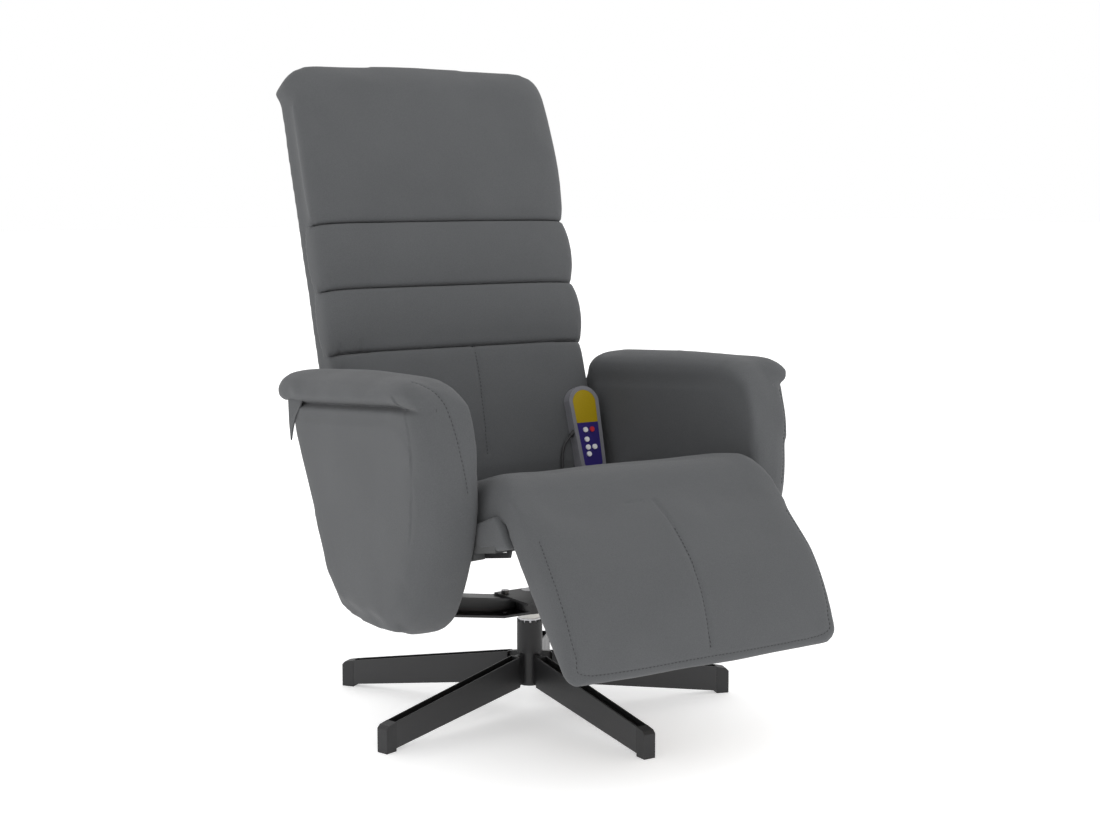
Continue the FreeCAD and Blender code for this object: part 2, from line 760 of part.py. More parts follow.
seat_motor_spots = [(side * v.motor_side, v.motor_seat, 0) for side in (-1, 1)]
back_motor_spots = [(side * v.motor_side, v.pad_depth, s)
                    for side in (-1, 1) for s in (v.motor_head, v.motor_waist)]


def arm_slots(frame):
    """Slots through which the seat's hinge arms reach the hinges."""
    outer = v.arm_inner - v.seat_gap - v.rail_thick + 1
    near = outer - v.hinge_arm_thick - 2.4
    y, z = inward(frame, v.foot_hinge_back, v.foot_hinge_height)
    return [slab((min(side * near, side * outer), max(side * near, side * outer)),
                 (y - 4, 60), (-1, z + 5)) for side in (-1, 1)]


def seat_cushion():
    shape = cushion_solid(seat_profile, v.seat_half, v.cushion_edge, 4)
    tools = motor_pockets([(x, y, -1) for x, y, z in seat_motor_spots], Vector(0, 0, 1))
    tools += [hinge_relief("seat", side) for side in (-1, 1)] + arm_slots("seat")
    soft("seat_cushion", shape.cut(tools), "seat")


def massage_unit(foot, axis):
    """A round vibration unit: a base flange, a drum and a small cap."""
    turn = Rotation(Vector(0, 0, 1), axis)
    profile = [(0, 0), (v.motor_radius, 0), (v.motor_radius, 5), (v.motor_radius * 0.82, 7),
               (v.motor_radius * 0.82, v.motor_height - 5), (v.motor_radius * 0.7, v.motor_height),
               (0, v.motor_height)]
    spots = [Vector(r, 0, z) for r, z in profile]
    drum = Part.Face(Part.makePolygon(spots + spots[:1])).revolve(Vector(), Vector(0, 0, 1), 360)
    drum.Placement = Placement(Vector(*foot), turn)
    return drum


def massage_units():
    seat_units = [massage_unit(spot, Vector(0, 0, 1)) for spot in seat_motor_spots]
    soft("seat_motors", Part.makeCompound(seat_units), "seat")
    back_units = [massage_unit(spot, Vector(0, -1, 0)) for spot in back_motor_spots]
    soft("back_motors", Part.makeCompound(back_units), "back")


def hinge_arm(side, name):
    """Steel arm from a seat rail to the footrest hinge."""
    body = new_body(f"hinge_arm_{name}", "seat")
    y, z = inward("seat", v.foot_hinge_back, v.foot_hinge_height)
    r = v.foot_lug_radius
    tail = v.rail_start + 60
    low, high = -v.deck_thick - 9, -v.deck_thick - 1
    outline = polygon((y - r * 0.5, z - r * 0.6), (-6, low), (tail, low), (tail, high), (-1.5, high),
                      (-1.5, 5), (y + r * 0.9, z + r * 0.4))
    inner = "arm_inner - seat_gap - rail_thick - hinge_arm_thick - seat_gap"
    outer = "arm_inner - seat_gap - rail_thick - seat_gap"
    low_x = side_span(side, inner, outer)[0]
    padded(body, "YZ_Plane", outline, "hinge_arm_thick", low_x)
    rod(body, "X", (low_x, str(y), str(z)), "foot_lug_radius", "hinge_arm_thick")
    rod(body, "X", ("-arm_inner", str(y), str(z)), "foot_pin_radius + running_gap", "arm_inner * 2", True)


def footrest_pins():
    y, z = inward("seat", v.foot_hinge_back, v.foot_hinge_height)
    outer = v.arm_inner - v.seat_gap - v.rail_thick + v.seat_gap
    length = 2 * v.hinge_arm_thick + 4
    pins = [disc(side * outer, y, z, v.foot_pin_radius, length, Vector(-side, 0, 0)) for side in (-1, 1)]
    soft("footrest_pins", Part.makeCompound(pins), "seat")


def recline_pins():
    """Shouldered pins from the seat rails into the backrest brackets."""
    pins = []
    for side in (-1, 1):
        start = v.arm_inner - v.seat_gap * 2
        length = v.rail_thick + 2 * v.bracket_thick
        pins.append(disc(side * start, v.recline_along, -v.recline_drop - v.deck_thick, v.recline_pin_radius,
                         length, Vector(-side, 0, 0)))
    soft("recline_pins", Part.makeCompound(pins), "seat")


def control_box():
    """Control box screwed under the deck, with a round power inlet at its rear."""
    body = new_body("control_box", "seat")
    middle = "box_side"
    across = (f"{middle} - box_width / 2", f"{middle} + box_width / 2")
    block(body, across, ("box_along", "box_along + box_length"), ("-deck_thick - box_height", "-deck_thick"))
    doc.recompute()
    shell = body.Tip
    edges = enumerate(shell.Shape.Edges, 1)
    upright = [f"Edge{n}" for n, e in edges if abs(e.tangentAt(e.FirstParameter).z) > 0.9]
    edge = body.newObject("PartDesign::Fillet", "control_box_edges")
    edge.Base = (shell, upright)
    edge.Radius = 4
    level = "-deck_thick - box_height / 2"
    rod(body, "Y", (middle, "box_along + box_length", level), "inlet_radius * 1.6", "4")
    rod(body, "Y", (middle, "box_along + box_length - 8", level), "inlet_radius", "40", True)


# Backrest

def channel_profile(low, high, depth=None):
    """Side section of one padded channel: flat rear, swollen front, drawn-in seams."""
    depth = v.pad_depth if depth is None else depth

    def profile(inset):
        tuck = max(inset, 0)
        rear = depth - v.seat_gap - tuck * 0.5
        front = -v.back_crown + inset
        bottom, top = low + v.channel_gap / 2 + tuck * 0.5, high - v.channel_gap / 2 - tuck * 0.5
        seam = min(4 + inset * 0.4, rear - 4)
        shoulder = 16
        return [
            ((rear, bottom), (rear, top)),
            ((rear, top), (seam, top)),
            ((seam, top), (front + 8, top - 4), (front + 3, top - shoulder)),
            ((front + 3, top - shoulder), (front, (bottom + top) / 2), (front + 3, bottom + shoulder)),
            ((front + 3, bottom + shoulder), (front + 8, bottom + 4), (seam, bottom)),
            ((seam, bottom), (rear, bottom)),
        ]
    return profile


def head_profile(inset, drop=0):
    """Side section of the head pad, which rolls back over the top of the board."""
    tuck = max(inset, 0)
    bottom = v.channel_top + v.channel_gap / 2 + tuck * 0.5
    rear = v.pad_depth - v.seat_gap - tuck * 0.1
    wrap = v.back_wrap + v.seat_gap + tuck * 0.3
    tail = v.pad_depth + v.back_board_thick + v.back_panel_thick + v.wrap_overhang - inset
    crest = v.back_top - min(inset, 0) - max(tuck * 1.6, drop)
    peak = 22 + inset * 0.5
    lip = max(rear + 2, tail - 22)
    middle = (wrap + crest) / 2
    swell = (crest - wrap) / 12
    front = -v.back_crown + inset
    seam = 4 + inset * 0.4
    return [
        ((rear, bottom), (rear, wrap)),
        ((rear, wrap), (lip, wrap)),
        ((lip, wrap), (tail - 5, wrap + (crest - wrap) * 0.2), (tail, middle)),
        ((tail, middle), ((tail + peak) / 2 + swell, (middle + crest) / 2 + swell), (peak, crest)),
        ((peak, crest), (front + 20, crest - 22), (front + 7, crest - 64)),
        ((front + 7, crest - 64), (front, (bottom + crest) / 2), (front + 4, bottom + 22)),
        ((front + 4, bottom + 22), (front + 9, bottom + 5), (seam, bottom)),
        ((seam, bottom), (rear, bottom)),
    ]


def head_solid():
    """The head pad, with its edges drawn in and both top corners rounded off."""
    half = v.back_half + v.head_flare
    wide, tall = v.head_corner_wide, v.head_corner_tall
    rim = edge_steps(22) + [(34, 0), (50, 0), (wide, 0)]
    side = []
    for across, inset in rim:
        drop = tall - tall * math.sqrt(1 - (1 - across / wide) ** 2)
        side.append((half - across, head_profile(inset, drop)))
    stations = [(-x, edges) for x, edges in side] + [(0, head_profile(-3))] + side[::-1]
    return Part.makeLoft([wire_at(x, edges) for x, edges in stations], True, True)


def flange_slots():
    """Hollows in the lumbar pad for the flanges of the recline brackets and the lever."""
    depth = (v.pad_depth - v.bracket_thick - 2 * v.seat_gap, v.pad_depth + 1)
    outer = v.arm_inner - v.seat_gap * 4 - v.rail_thick
    slots = []
    for side in (-1, 1):
        span = sorted((side * (outer - 41), side * (outer + 1)))
        slots.append(slab(span, depth, (v.back_bottom - 5, v.back_bottom + 121)))
    slots.append(slab((v.link_side - 34, v.link_side + 1), depth, (v.back_bottom - 5, v.back_bottom + 91)))
    return slots


def gusset_space():
    """Room beside the pads for the side walls of the rear panel."""
    inner = v.back_panel_half - v.gusset_wall - v.seat_gap
    rear = v.pad_depth + v.back_board_thick + v.back_panel_thick + 1
    return [slab(sorted((side * inner, side * v.arm_inner * 2)), (v.gusset_front - v.seat_gap, rear),
                 (v.back_bottom * 2, v.back_wrap + v.seat_gap)) for side in (-1, 1)]


def back_pads():
    upper = cushion_solid(channel_profile(v.channel_mid, v.channel_top), v.back_half, 20, 2)
    soft("upper_roll", upper.cut(gusset_space()), "back")
    pockets = motor_pockets([(x, y + 1, s) for x, y, s in back_motor_spots], Vector(0, -1, 0))
    lower = cushion_solid(channel_profile(v.channel_low, v.channel_mid), v.back_half, 20, 2)
    waist = [p for p in pockets if p.BoundBox.Center.z < v.channel_mid]
    soft("lower_roll", lower.cut(waist + gusset_space()), "back")
    head = head_solid()
    neck = [p for p in pockets if p.BoundBox.Center.z > v.channel_top]
    soft("head_pad", head.cut(neck + gusset_space()), "back")
    lumbar = cushion_solid(channel_profile(v.back_bottom, v.channel_low), v.lumbar_half, 18, 2)
    soft("lumbar_pad", lumbar.cut(flange_slots() + gusset_space()), "back")


def back_board():
    body = new_body("back_board", "back")
    block(body, ("-back_board_half", "back_board_half"), ("pad_depth", "pad_depth + back_board_thick"),
          ("back_bottom", "back_wrap - seat_gap"))


def back_panel():
    """Padded rear panel with side gussets that cover the edges of the board and the pads."""
    near = v.gusset_front
    board_rear = v.pad_depth + v.back_board_thick + v.seat_gap

    def profile(inset):
        far = v.pad_depth + v.back_board_thick + v.back_panel_thick - inset * 0.8
        low, high = v.back_bottom + inset, v.back_wrap - v.seat_gap - max(inset, 0) * 0.2
        bend = 9
        return [
            ((near, low + 2), (near, high)),
            ((near, high), (far, high)),
            ((far, high), (far, low + bend)),
            ((far, low + bend), (far - 3, low + 3), (far - bend * 0.7, low)),
            ((far - bend * 0.7, low), (near, low + 2)),
        ]

    inner = v.back_panel_half - v.gusset_wall
    hollow = slab((-inner, inner), (near - 1, board_rear), (v.back_bottom * 2, v.back_wrap * 2))
    soft("back_panel", cushion_solid(profile, v.back_panel_half, 8, 1).cut(hollow), "back")


def back_bracket(side, name):
    """Angle bracket: a flange on the board and a web that turns on the recline pin."""
    body = new_body(f"back_bracket_{name}", "back")
    hinge = outward("seat", v.recline_along, -v.recline_drop - v.deck_thick)
    y, s = inward("back", *hinge)
    outer = "arm_inner - seat_gap * 4 - rail_thick"
    web = side_span(side, f"{outer} - bracket_thick", outer)
    flange = side_span(side, f"{outer} - 40", outer)
    face = ("pad_depth - seat_gap - bracket_thick", "pad_depth - seat_gap")
    block(body, flange, face, ("back_bottom - 50", "back_bottom + 120"))
    rear = max(v.pad_depth - v.seat_gap, y + 4)
    block(body, web, (str(y - 12), str(rear)), (str(s), "back_bottom - 1"))
    rod(body, "X", (web[0], str(y), str(s)), "recline_pin_radius * 2", "bracket_thick")
    rod(body, "X", ("-arm_inner", str(y), str(s)), "recline_pin_radius + running_gap", "arm_inner * 2", True)
    for up in ("back_bottom + 30", "back_bottom + 95"):
        middle = side_span(side, f"{outer} - 22", "0")[0] if side > 0 else f"22 - ({outer})"
        rod(body, "Y", (middle, "0", up), "bolt_radius * 0.75", "pad_depth * 2", True)


def bracket_bolts():
    """Countersunk screws through the bracket flanges into the back board."""
    outer = v.arm_inner - v.seat_gap * 4 - v.rail_thick
    radius = v.bolt_radius * 0.75
    near = v.pad_depth - v.seat_gap - v.bracket_thick
    screws = []
    for side in (-1, 1):
        for up in (30, 95):
            screws.append(disc(side * (outer - 22), near, v.back_bottom + up, radius,
                               v.bracket_thick + v.seat_gap, Vector(0, 1, 0)))
    soft("bracket_bolts", Part.makeCompound(screws), "back")


# Parallel linkage

recline_hinge = outward("seat", v.recline_along, -v.recline_drop - v.deck_thick)
rear_pivot = (recline_hinge[0] + v.lever_back, recline_hinge[1] - v.lever_down)
front_pivot = (v.foot_hinge_back + v.lever_back, v.foot_hinge_height - v.lever_down)


def stud(body, y, z):
    """Riveted stud on a lever, on which the push rod turns."""
    rod(body, "X", ("link_side", str(y), str(z)), "link_pin_radius", "link_thick * 2 + 3")


def recline_lever():
    """Lever under the backrest that pushes the rod forward as the back leans."""
    body = new_body("recline_lever", "back")
    y, s = inward("back", *rear_pivot)
    face = ("pad_depth - seat_gap - bracket_thick", "pad_depth - seat_gap")
    block(body, ("link_side - 32", "link_side"), face, ("back_bottom - 30", "back_bottom + 90"))
    near, far = v.pad_depth - v.seat_gap - 22, v.pad_depth - v.seat_gap
    arm = polygon((near, v.back_bottom - 1), (near, v.back_bottom - 40), (y - 10, s), (y + 10, s),
                  (far + 6, v.back_bottom - 40), (far, v.back_bottom - 1))
    padded(body, "YZ_Plane", arm, "bracket_thick", "link_side - bracket_thick")
    rod(body, "X", ("link_side - bracket_thick", str(y), str(s)), "10", "bracket_thick")
    stud(body, y, s)


def push_rod():
    """Flat rod that ties the two levers into a parallelogram under the seat."""
    run_y, run_z = rear_pivot[0] - front_pivot[0], rear_pivot[1] - front_pivot[1]
    length = math.hypot(run_y, run_z)
    h = v.link_half_height
    body = doc.addObject("PartDesign::Body", "push_rod")
    body.Label = "push_rod"
    outline = [((0, h), (-h, 0), (0, -h)), ((0, -h), (length, -h)),
               ((length, -h), (length + h, 0), (length, h)), ((length, h), (0, h))]
    padded(body, "YZ_Plane", outline, "link_thick", "link_side + 1")
    rod(body, "X", ("0", "0", "0"), "link_pin_radius + open_pivot_gap", "link_side * 2", True)
    rod(body, "X", ("0", str(length), "0"), "link_pin_radius + running_gap", "link_side * 2", True)
    turn = Rotation(Vector(1, 0, 0), math.degrees(math.atan2(run_z, run_y)))
    body.Placement = Placement(Vector(0, v.column_setback + front_pivot[0], front_pivot[1]), turn)
    parts.append(body)


# Footrest

def foot_profile(inset):
    """Side section of the leg pad: seam end, crown and rounded nose."""
    tuck = max(inset, 0)
    under = -v.foot_under + tuck * 0.7
    crown = v.foot_crown - inset
    nose = -v.foot_length_pad + inset
    thick = crown - under
    end_low = (-tuck * 0.3, 4 - tuck * 0.3)
    end_high = (-9 - tuck * 0.3, 14 - tuck * 0.7)
    swell = 2 - tuck / 20
    end_round = ((end_low[0] + end_high[0]) / 2 + swell, (end_low[1] + end_high[1]) / 2 + swell)
    nose_top = (nose + 8, under + thick * 0.42)
    return [
        ((nose + 12, under), (-38, under)),
        ((-38, under), end_low),
        (end_low, end_round, end_high),
        (end_high, (-60, crown - 7), (-120, crown)),
        ((-120, crown), (-190, crown - 9), nose_top),
        (nose_top, (nose, under + thick * 0.2), (nose + 12, under)),
    ]


def bracket_slots():
    """Slots in the leg pad for the footrest's hinge brackets."""
    outer = v.arm_inner - v.seat_gap * 2 - v.rail_thick - v.hinge_arm_thick
    return [slab(sorted((side * (outer - v.hinge_arm_thick - 1.5), side * (outer + 1))),
                 (-72, 12), (-v.foot_under - 1, v.foot_lug_radius + 1)) for side in (-1, 1)]


def footrest_pad():
    shape = cushion_solid(foot_profile, v.foot_half, 18, 2)
    gap = v.seat_gap
    tools = [slab((-v.foot_board_half - gap, v.foot_board_half + gap),
                  (v.foot_board_far - gap, v.foot_board_near + gap),
                  (-v.foot_under - 1, v.foot_board_thick - v.foot_under + gap))]
    tools += [hinge_relief("foot", side) for side in (-1, 1)] + bracket_slots()
    soft("footrest_pad", shape.cut(tools), "foot")


def footrest_board():
    body = new_body("footrest_board", "foot")
    block(body, ("-foot_board_half", "foot_board_half"), ("foot_board_far", "foot_board_near"),
          ("-foot_under", "foot_board_thick - foot_under"))


def footrest_bracket(side, name):
    """Hinge bracket: a lug on the pin and a flange under the footrest board."""
    body = new_body(f"footrest_bracket_{name}", "foot")
    outer = "arm_inner - seat_gap * 4 - rail_thick - hinge_arm_thick"
    web = side_span(side, f"{outer} - hinge_arm_thick", outer)
    flange = side_span(side, f"{outer} - 34", outer)
    r = v.foot_lug_radius
    sole = -v.foot_under - v.hinge_arm_thick
    arm = polygon((0, r), (-r, 0), (-66, -v.foot_under), (-66, sole), (-40, sole), (r * 0.9, -3))
    padded(body, "YZ_Plane", arm, "hinge_arm_thick", web[0])
    rod(body, "X", (web[0], "0", "0"), "foot_lug_radius", "hinge_arm_thick")
    block(body, flange, ("-130", "-45"), ("-foot_under - hinge_arm_thick", "-foot_under"))
    rod(body, "X", ("-arm_inner", "0", "0"), "foot_pin_radius + running_gap", "arm_inner * 2", True)


def footrest_lever():
    """Lug under the footrest board that takes the front end of the push rod."""
    body = new_body("footrest_lever", "foot")
    y, z = inward("foot", *front_pivot)
    under = -v.foot_under
    block(body, ("link_side - 34", "link_side"), (str(y - 60), str(y + 2)),
          ("-foot_under - bracket_thick", "-foot_under"))
    arm = polygon((y - 50, under), (y - 10, z), (y + 10, z), (y + 2, under))
    padded(body, "YZ_Plane", arm, "bracket_thick", "link_side - bracket_thick")
    rod(body, "X", ("link_side - bracket_thick", str(y), str(z)), "10", "bracket_thick")
    stud(body, y, z)


# Handset, standing on the seat and leaning on the backrest

handset_back_face = -v.back_crown - 2 - v.seat_gap
handset_middle = handset_back_face - v.handset_thick / 2
handset_front_face = handset_back_face - v.handset_thick


def handset_outline(inset):
    """Front outline of the handset: a round top, slightly wider than the foot."""
    x = v.handset_side
    foot, top = v.handset_foot + inset, v.handset_foot + v.handset_length - inset
    wide, narrow = v.handset_wide / 2 - inset, v.handset_narrow / 2 - inset
    neck = top - wide * 0.8
    toe = 9 - inset * 0.6
    bend = toe * 0.3
    return [
        ((x - wide, neck), (x, top), (x + wide, neck)),
        ((x + wide, neck), (x + narrow, foot + toe)),
        ((x + narrow, foot + toe), (x + narrow - bend, foot + bend), (x + narrow - toe, foot)),
        ((x + narrow - toe, foot), (x - narrow + toe, foot)),
        ((x - narrow + toe, foot), (x - narrow + bend, foot + bend), (x - narrow, foot + toe)),
        ((x - narrow, foot + toe), (x - wide, neck)),
    ]


button_names = ["power", "red", "zone", "mode_left", "mode_right", "level"]
button_rows = {"power": (-1, 78), "red": (1, 78), "zone": (-1, 95), "mode_left": (-1, 109),
               "mode_right": (1, 109),
               "level": (-1, 121)}


def button_spot(name):
    column, down = button_rows[name]
    return v.handset_side + column * v.button_side, v.handset_foot + v.handset_length - down


def upright_pad(body, edges, near, far, cut=False):
    """Pad an X-S outline between two depths."""
    feature = padded(body, "XZ_Plane", edges, str(abs(far - near)), str(-max(near, far)), cut)
    if cut:
        feature.Reversed = True
    return feature


def handset_shells():
    back = new_body("handset_back", "back")
    upright_pad(back, handset_outline(0), handset_middle, handset_back_face)
    front = new_body("handset_front", "back")
    upright_pad(front, handset_outline(0), handset_front_face, handset_middle)
    upright_pad(front, handset_outline(v.panel_inset), handset_front_face,
                handset_front_face + v.panel_thick, True)
    panel = new_body("handset_panel", "back")
    upright_pad(panel, handset_outline(v.panel_inset + v.seat_gap), handset_front_face,
                handset_front_face + v.panel_thick)
    for name in button_names:
        x, s = button_spot(name)
        for body, start in ((front, handset_front_face - 1), (panel, handset_front_face - 1)):
            rod(body, "Y", (str(x), str(start), str(s)), "button_radius + seat_gap",
                "1 + button_depth + button_travel + seat_gap", True)


def handset_button(name):
    body = new_body(f"button_{name}", "back")
    x, s = button_spot(name)
    rod(body, "Y", (str(x), str(handset_front_face - v.button_proud), str(s)), "button_radius",
        "button_proud + button_depth")


# Handset cord, from a gland on the handset's side down behind the seat cushion

# across from the handset's middle; the first three hang on the handset, the rest on the deck's rear edge
handset_middle_spot = outward("back", 0, v.handset_foot + v.handset_length / 2)
deck_edge = outward("seat", v.deck_length, 0)
cord_high = [(-34, -33.1, -1.8), (-45, -33.3, -11.8), (-51.5, -33.7, -26.8)]
cord_low = [(-54, 9.1, 107.8), (-54.5, 5.5, 87.8), (-54.2, 3.5, 65.8), (-54, 3.1, 42.8), (-53.8, 3.1, 20.8)]


def cord_points(steps, anchor):
    return [(v.handset_side + x, anchor[0] + y, anchor[1] + z) for x, y, z in steps]


cord_route = cord_points(cord_high, handset_middle_spot) + cord_points(cord_low, deck_edge)


def cord_path(points):
    """Straight runs joined by the largest tangent arcs that the runs allow; also the arc radii."""
    spots = [Vector(*p) for p in points]
    edges, radii = [], []
    last = spots[0]
    for before, corner, after in zip(spots, spots[1:], spots[2:]):
        to_back, to_front = (before - corner), (after - corner)
        reach = 0.45 * min(to_back.Length, to_front.Length)
        to_back.normalize()
        to_front.normalize()
        turn = math.pi - to_back.getAngle(to_front)
        radius = reach / math.tan(turn / 2)
        start, end = corner + to_back * reach, corner + to_front * reach
        inner = to_back + to_front
        inner.normalize()
        middle = corner + inner * (radius / math.cos(turn / 2) - radius)
        edges.append(Part.makeLine(last, start))
        edges.append(Part.Arc(start, middle, end).toShape())
        radii.append(radius)
        last = end
    edges.append(Part.makeLine(last, spots[-1]))
    return Part.Wire(edges), radii


def handset_cord():
    path, radii = cord_path(cord_route)
    first, second = Vector(*cord_route[0]), Vector(*cord_route[1])
    ring = Part.Wire(Part.makeCircle(v.cord_radius, first, second - first))
    tube = path.makePipeShell([ring], True, False)
    print("cord radii", [round(r, 1) for r in radii], "length", round(path.Length, 1))
    print("cord volume share", round(tube.Volume / (math.pi * v.cord_radius ** 2 * path.Length), 4))
    soft("handset_cord", tube, "column")


def cord_glands():
    """Strain relief on the handset and the grommet on the rear edge of the deck."""
    first, second = Vector(*cord_route[0]), Vector(*cord_route[1])
    axis = (first - second).normalize()
    relief = Part.makeCone(v.gland_radius * 0.8, v.gland_radius, v.gland_length, first, axis)
    body = doc.getObject("handset_back").Shape.copy()
    body.translate(Vector(0, -v.column_setback, 0))
    other = doc.getObject("handset_front").Shape.copy()
    other.translate(Vector(0, -v.column_setback, 0))
    soft("cord_relief", relief.cut([body, other]), "column")
    last = Vector(*cord_route[-1])
    _, deck_rear = outward("seat", v.deck_length, -v.deck_thick)
    rear_edge, _ = outward("seat", v.deck_length, 0)
    behind = (rear_edge + v.seat_gap, rear_edge + 14)
    grommet = slab((last.x - 9, last.x + 9), behind, (deck_rear - 6, last.z))
    soft("cord_grommet", grommet, "column")


def build():
    base_hub()
    for number in range(5):
        base_leg(number)
    foot_caps()
    spindle()
    column_cover()
    crossbar()
    swivel_bush()
    swivel_plate()
    plate_bolts()
    for side, name in ((-1, "left"), (1, "right")):
        arm_pad(side, name)
        arm_board(side, name)
        arm_roll(side, name)
        seat_rail(side, name)
        hinge_arm(side, name)
        back_bracket(side, name)
        footrest_bracket(side, name)
    frame_bolts()
    seat_deck()
    seat_apron()
    seat_cushion()
    massage_units()
    footrest_pins()
    recline_pins()
    control_box()
    back_pads()
    back_board()
    back_panel()
    bracket_bolts()
    recline_lever()
    push_rod()
    footrest_pad()
    footrest_board()
    footrest_lever()
    handset_shells()
    for name in button_names:
        handset_button(name)
    doc.recompute()
    cord_glands()
    handset_cord()


def export():
    doc.recompute()
    for thing in doc.Objects:
        if "Invalid" in thing.State or "Error" in thing.State:
            raise RuntimeError(f"{thing.Label} failed: {thing.State}")
    faulty = [part.Label for part in parts if part.Shape.isNull() or not part.Shape.isValid()]
    if faulty:
        raise RuntimeError(f"no valid shape: {faulty}")
    os.makedirs("parts", exist_ok=True)
    for part in parts:
        part.Shape.exportStep(f"parts/{part.Label}.step")
    print(len(parts), "sub-parts")


build()
export()
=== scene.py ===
import json
import math
import bmesh
import bpy
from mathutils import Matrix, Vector, noise
from mathutils.bvhtree import BVHTree


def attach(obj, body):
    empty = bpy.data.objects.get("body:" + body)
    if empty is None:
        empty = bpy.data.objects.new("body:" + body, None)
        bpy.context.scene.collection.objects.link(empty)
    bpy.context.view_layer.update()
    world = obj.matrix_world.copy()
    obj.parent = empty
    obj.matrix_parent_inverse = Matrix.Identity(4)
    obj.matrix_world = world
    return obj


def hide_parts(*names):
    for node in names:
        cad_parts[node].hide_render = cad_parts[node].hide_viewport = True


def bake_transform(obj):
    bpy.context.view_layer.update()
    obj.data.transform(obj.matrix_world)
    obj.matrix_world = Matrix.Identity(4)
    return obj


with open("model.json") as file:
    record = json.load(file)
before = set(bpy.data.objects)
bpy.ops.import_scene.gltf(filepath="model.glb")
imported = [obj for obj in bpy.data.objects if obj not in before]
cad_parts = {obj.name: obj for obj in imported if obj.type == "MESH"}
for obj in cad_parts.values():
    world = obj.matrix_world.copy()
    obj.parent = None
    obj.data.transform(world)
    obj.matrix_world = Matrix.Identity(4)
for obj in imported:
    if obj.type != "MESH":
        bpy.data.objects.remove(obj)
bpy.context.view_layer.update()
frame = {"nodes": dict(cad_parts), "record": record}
nodes = frame["nodes"]
scene = bpy.context.scene
print("stage: frame loaded")

# Frames of the leaning back, the sloping seat and the dropped leg rest, in metres

setback = 0.0345


def localFrame(originY, originZ, degrees):
    turn = math.radians(degrees)
    return {
        "origin": Vector((0, originY + setback, originZ)),
        "along": Vector((0, math.cos(turn), math.sin(turn))),
        "up": Vector((0, -math.sin(turn), math.cos(turn))),
    }


backFrame = localFrame(0.209, 0.583, -16)
seatFrame = localFrame(-0.300, 0.347, -10)
footFrame = localFrame(-0.326, 0.392, 52)
chairFrame = localFrame(0, 0, 0)


def inFrame(place, point):
    offset = point - place["origin"]
    return Vector((point.x, offset.dot(place["along"]), offset.dot(place["up"])))


def outOf(place, x, y, z):
    return Vector((x, 0, 0)) + place["origin"] + place["along"] * y + place["up"] * z


# Shader helpers

def newMaterial(name):
    material = bpy.data.materials.new(name)
    material.use_nodes = True
    return material


def addNode(tree, kind, values=None, **settings):
    node = tree.nodes.new(kind)
    for key, value in settings.items():
        setattr(node, key, value)
    for key, value in (values or {}).items():
        node.inputs[key].default_value = value
    return node


def link(tree, source, target):
    tree.links.new(source, target)


def newGroup(name, inputs, outputs):
    group = bpy.data.node_groups.new(name, "ShaderNodeTree")
    for label, kind, default in inputs:
        socket = group.interface.new_socket(label, in_out="INPUT", socket_type=kind)
        if default is not None:
            socket.default_value = default
    for label, kind in outputs:
        group.interface.new_socket(label, in_out="OUTPUT", socket_type=kind)
    return group, group.nodes.new("NodeGroupInput"), group.nodes.new("NodeGroupOutput")


def mixColour(tree, factor, first, second):
    mix = addNode(tree, "ShaderNodeMix", data_type="RGBA")
    for socket, value in ((mix.inputs[0], factor), (mix.inputs[6], first), (mix.inputs[7], second)):
        if isinstance(value, bpy.types.NodeSocket):
            link(tree, value, socket)
        else:
            socket.default_value = value
    return mix.outputs[2]


def makeWeave():
    group, start, end = newGroup("weave", [
        ("Colour", "NodeSocketColor", (0.1, 0.1, 0.1, 1)),
        ("Scale", "NodeSocketFloat", 700.0),
    ], [("Colour", "NodeSocketColor"), ("Roughness", "NodeSocketFloat"), ("Normal", "NodeSocketVector")])
    spot = addNode(group, "ShaderNodeTexCoord")
    thread = addNode(group, "ShaderNodeTexNoise", {"Detail": 3.0, "Roughness": 0.7})
    link(group, spot.outputs["Object"], thread.inputs["Vector"])
    link(group, start.outputs["Scale"], thread.inputs["Scale"])
    pile = addNode(group, "ShaderNodeTexNoise", {"Scale": 9.0, "Detail": 4.0, "Roughness": 0.55})
    link(group, spot.outputs["Object"], pile.inputs["Vector"])
    cell = addNode(group, "ShaderNodeTexVoronoi", {"Scale": 1100.0})
    link(group, spot.outputs["Object"], cell.inputs["Vector"])
    dark = addNode(group, "ShaderNodeHueSaturation", {"Value": 0.72})
    light = addNode(group, "ShaderNodeHueSaturation", {"Value": 1.3})
    link(group, start.outputs["Colour"], dark.inputs["Color"])
    link(group, start.outputs["Colour"], light.inputs["Color"])
    speck = mixColour(group, thread.outputs["Fac"], dark.outputs["Color"], light.outputs["Color"])
    ramp = addNode(group, "ShaderNodeMapRange", {"From Min": 0.35, "From Max": 0.65})
    link(group, pile.outputs["Fac"], ramp.inputs["Value"])
    shade = addNode(group, "ShaderNodeHueSaturation", {"Value": 0.95})
    link(group, speck, shade.inputs["Color"])
    pileColour = mixColour(group, ramp.outputs["Result"], shade.outputs["Color"], speck)
    link(group, pileColour, end.inputs["Colour"])
    rough = addNode(group, "ShaderNodeMapRange", {"To Min": 0.82, "To Max": 0.97})
    link(group, thread.outputs["Fac"], rough.inputs["Value"])
    link(group, rough.outputs["Result"], end.inputs["Roughness"])
    fine = addNode(group, "ShaderNodeBump", {"Strength": 0.35, "Distance": 0.0006})
    link(group, cell.outputs["Distance"], fine.inputs["Height"])
    soft = addNode(group, "ShaderNodeBump", {"Strength": 0.12, "Distance": 0.004})
    link(group, pile.outputs["Fac"], soft.inputs["Height"])
    link(group, fine.outputs["Normal"], soft.inputs["Normal"])
    link(group, soft.outputs["Normal"], end.inputs["Normal"])
    return group


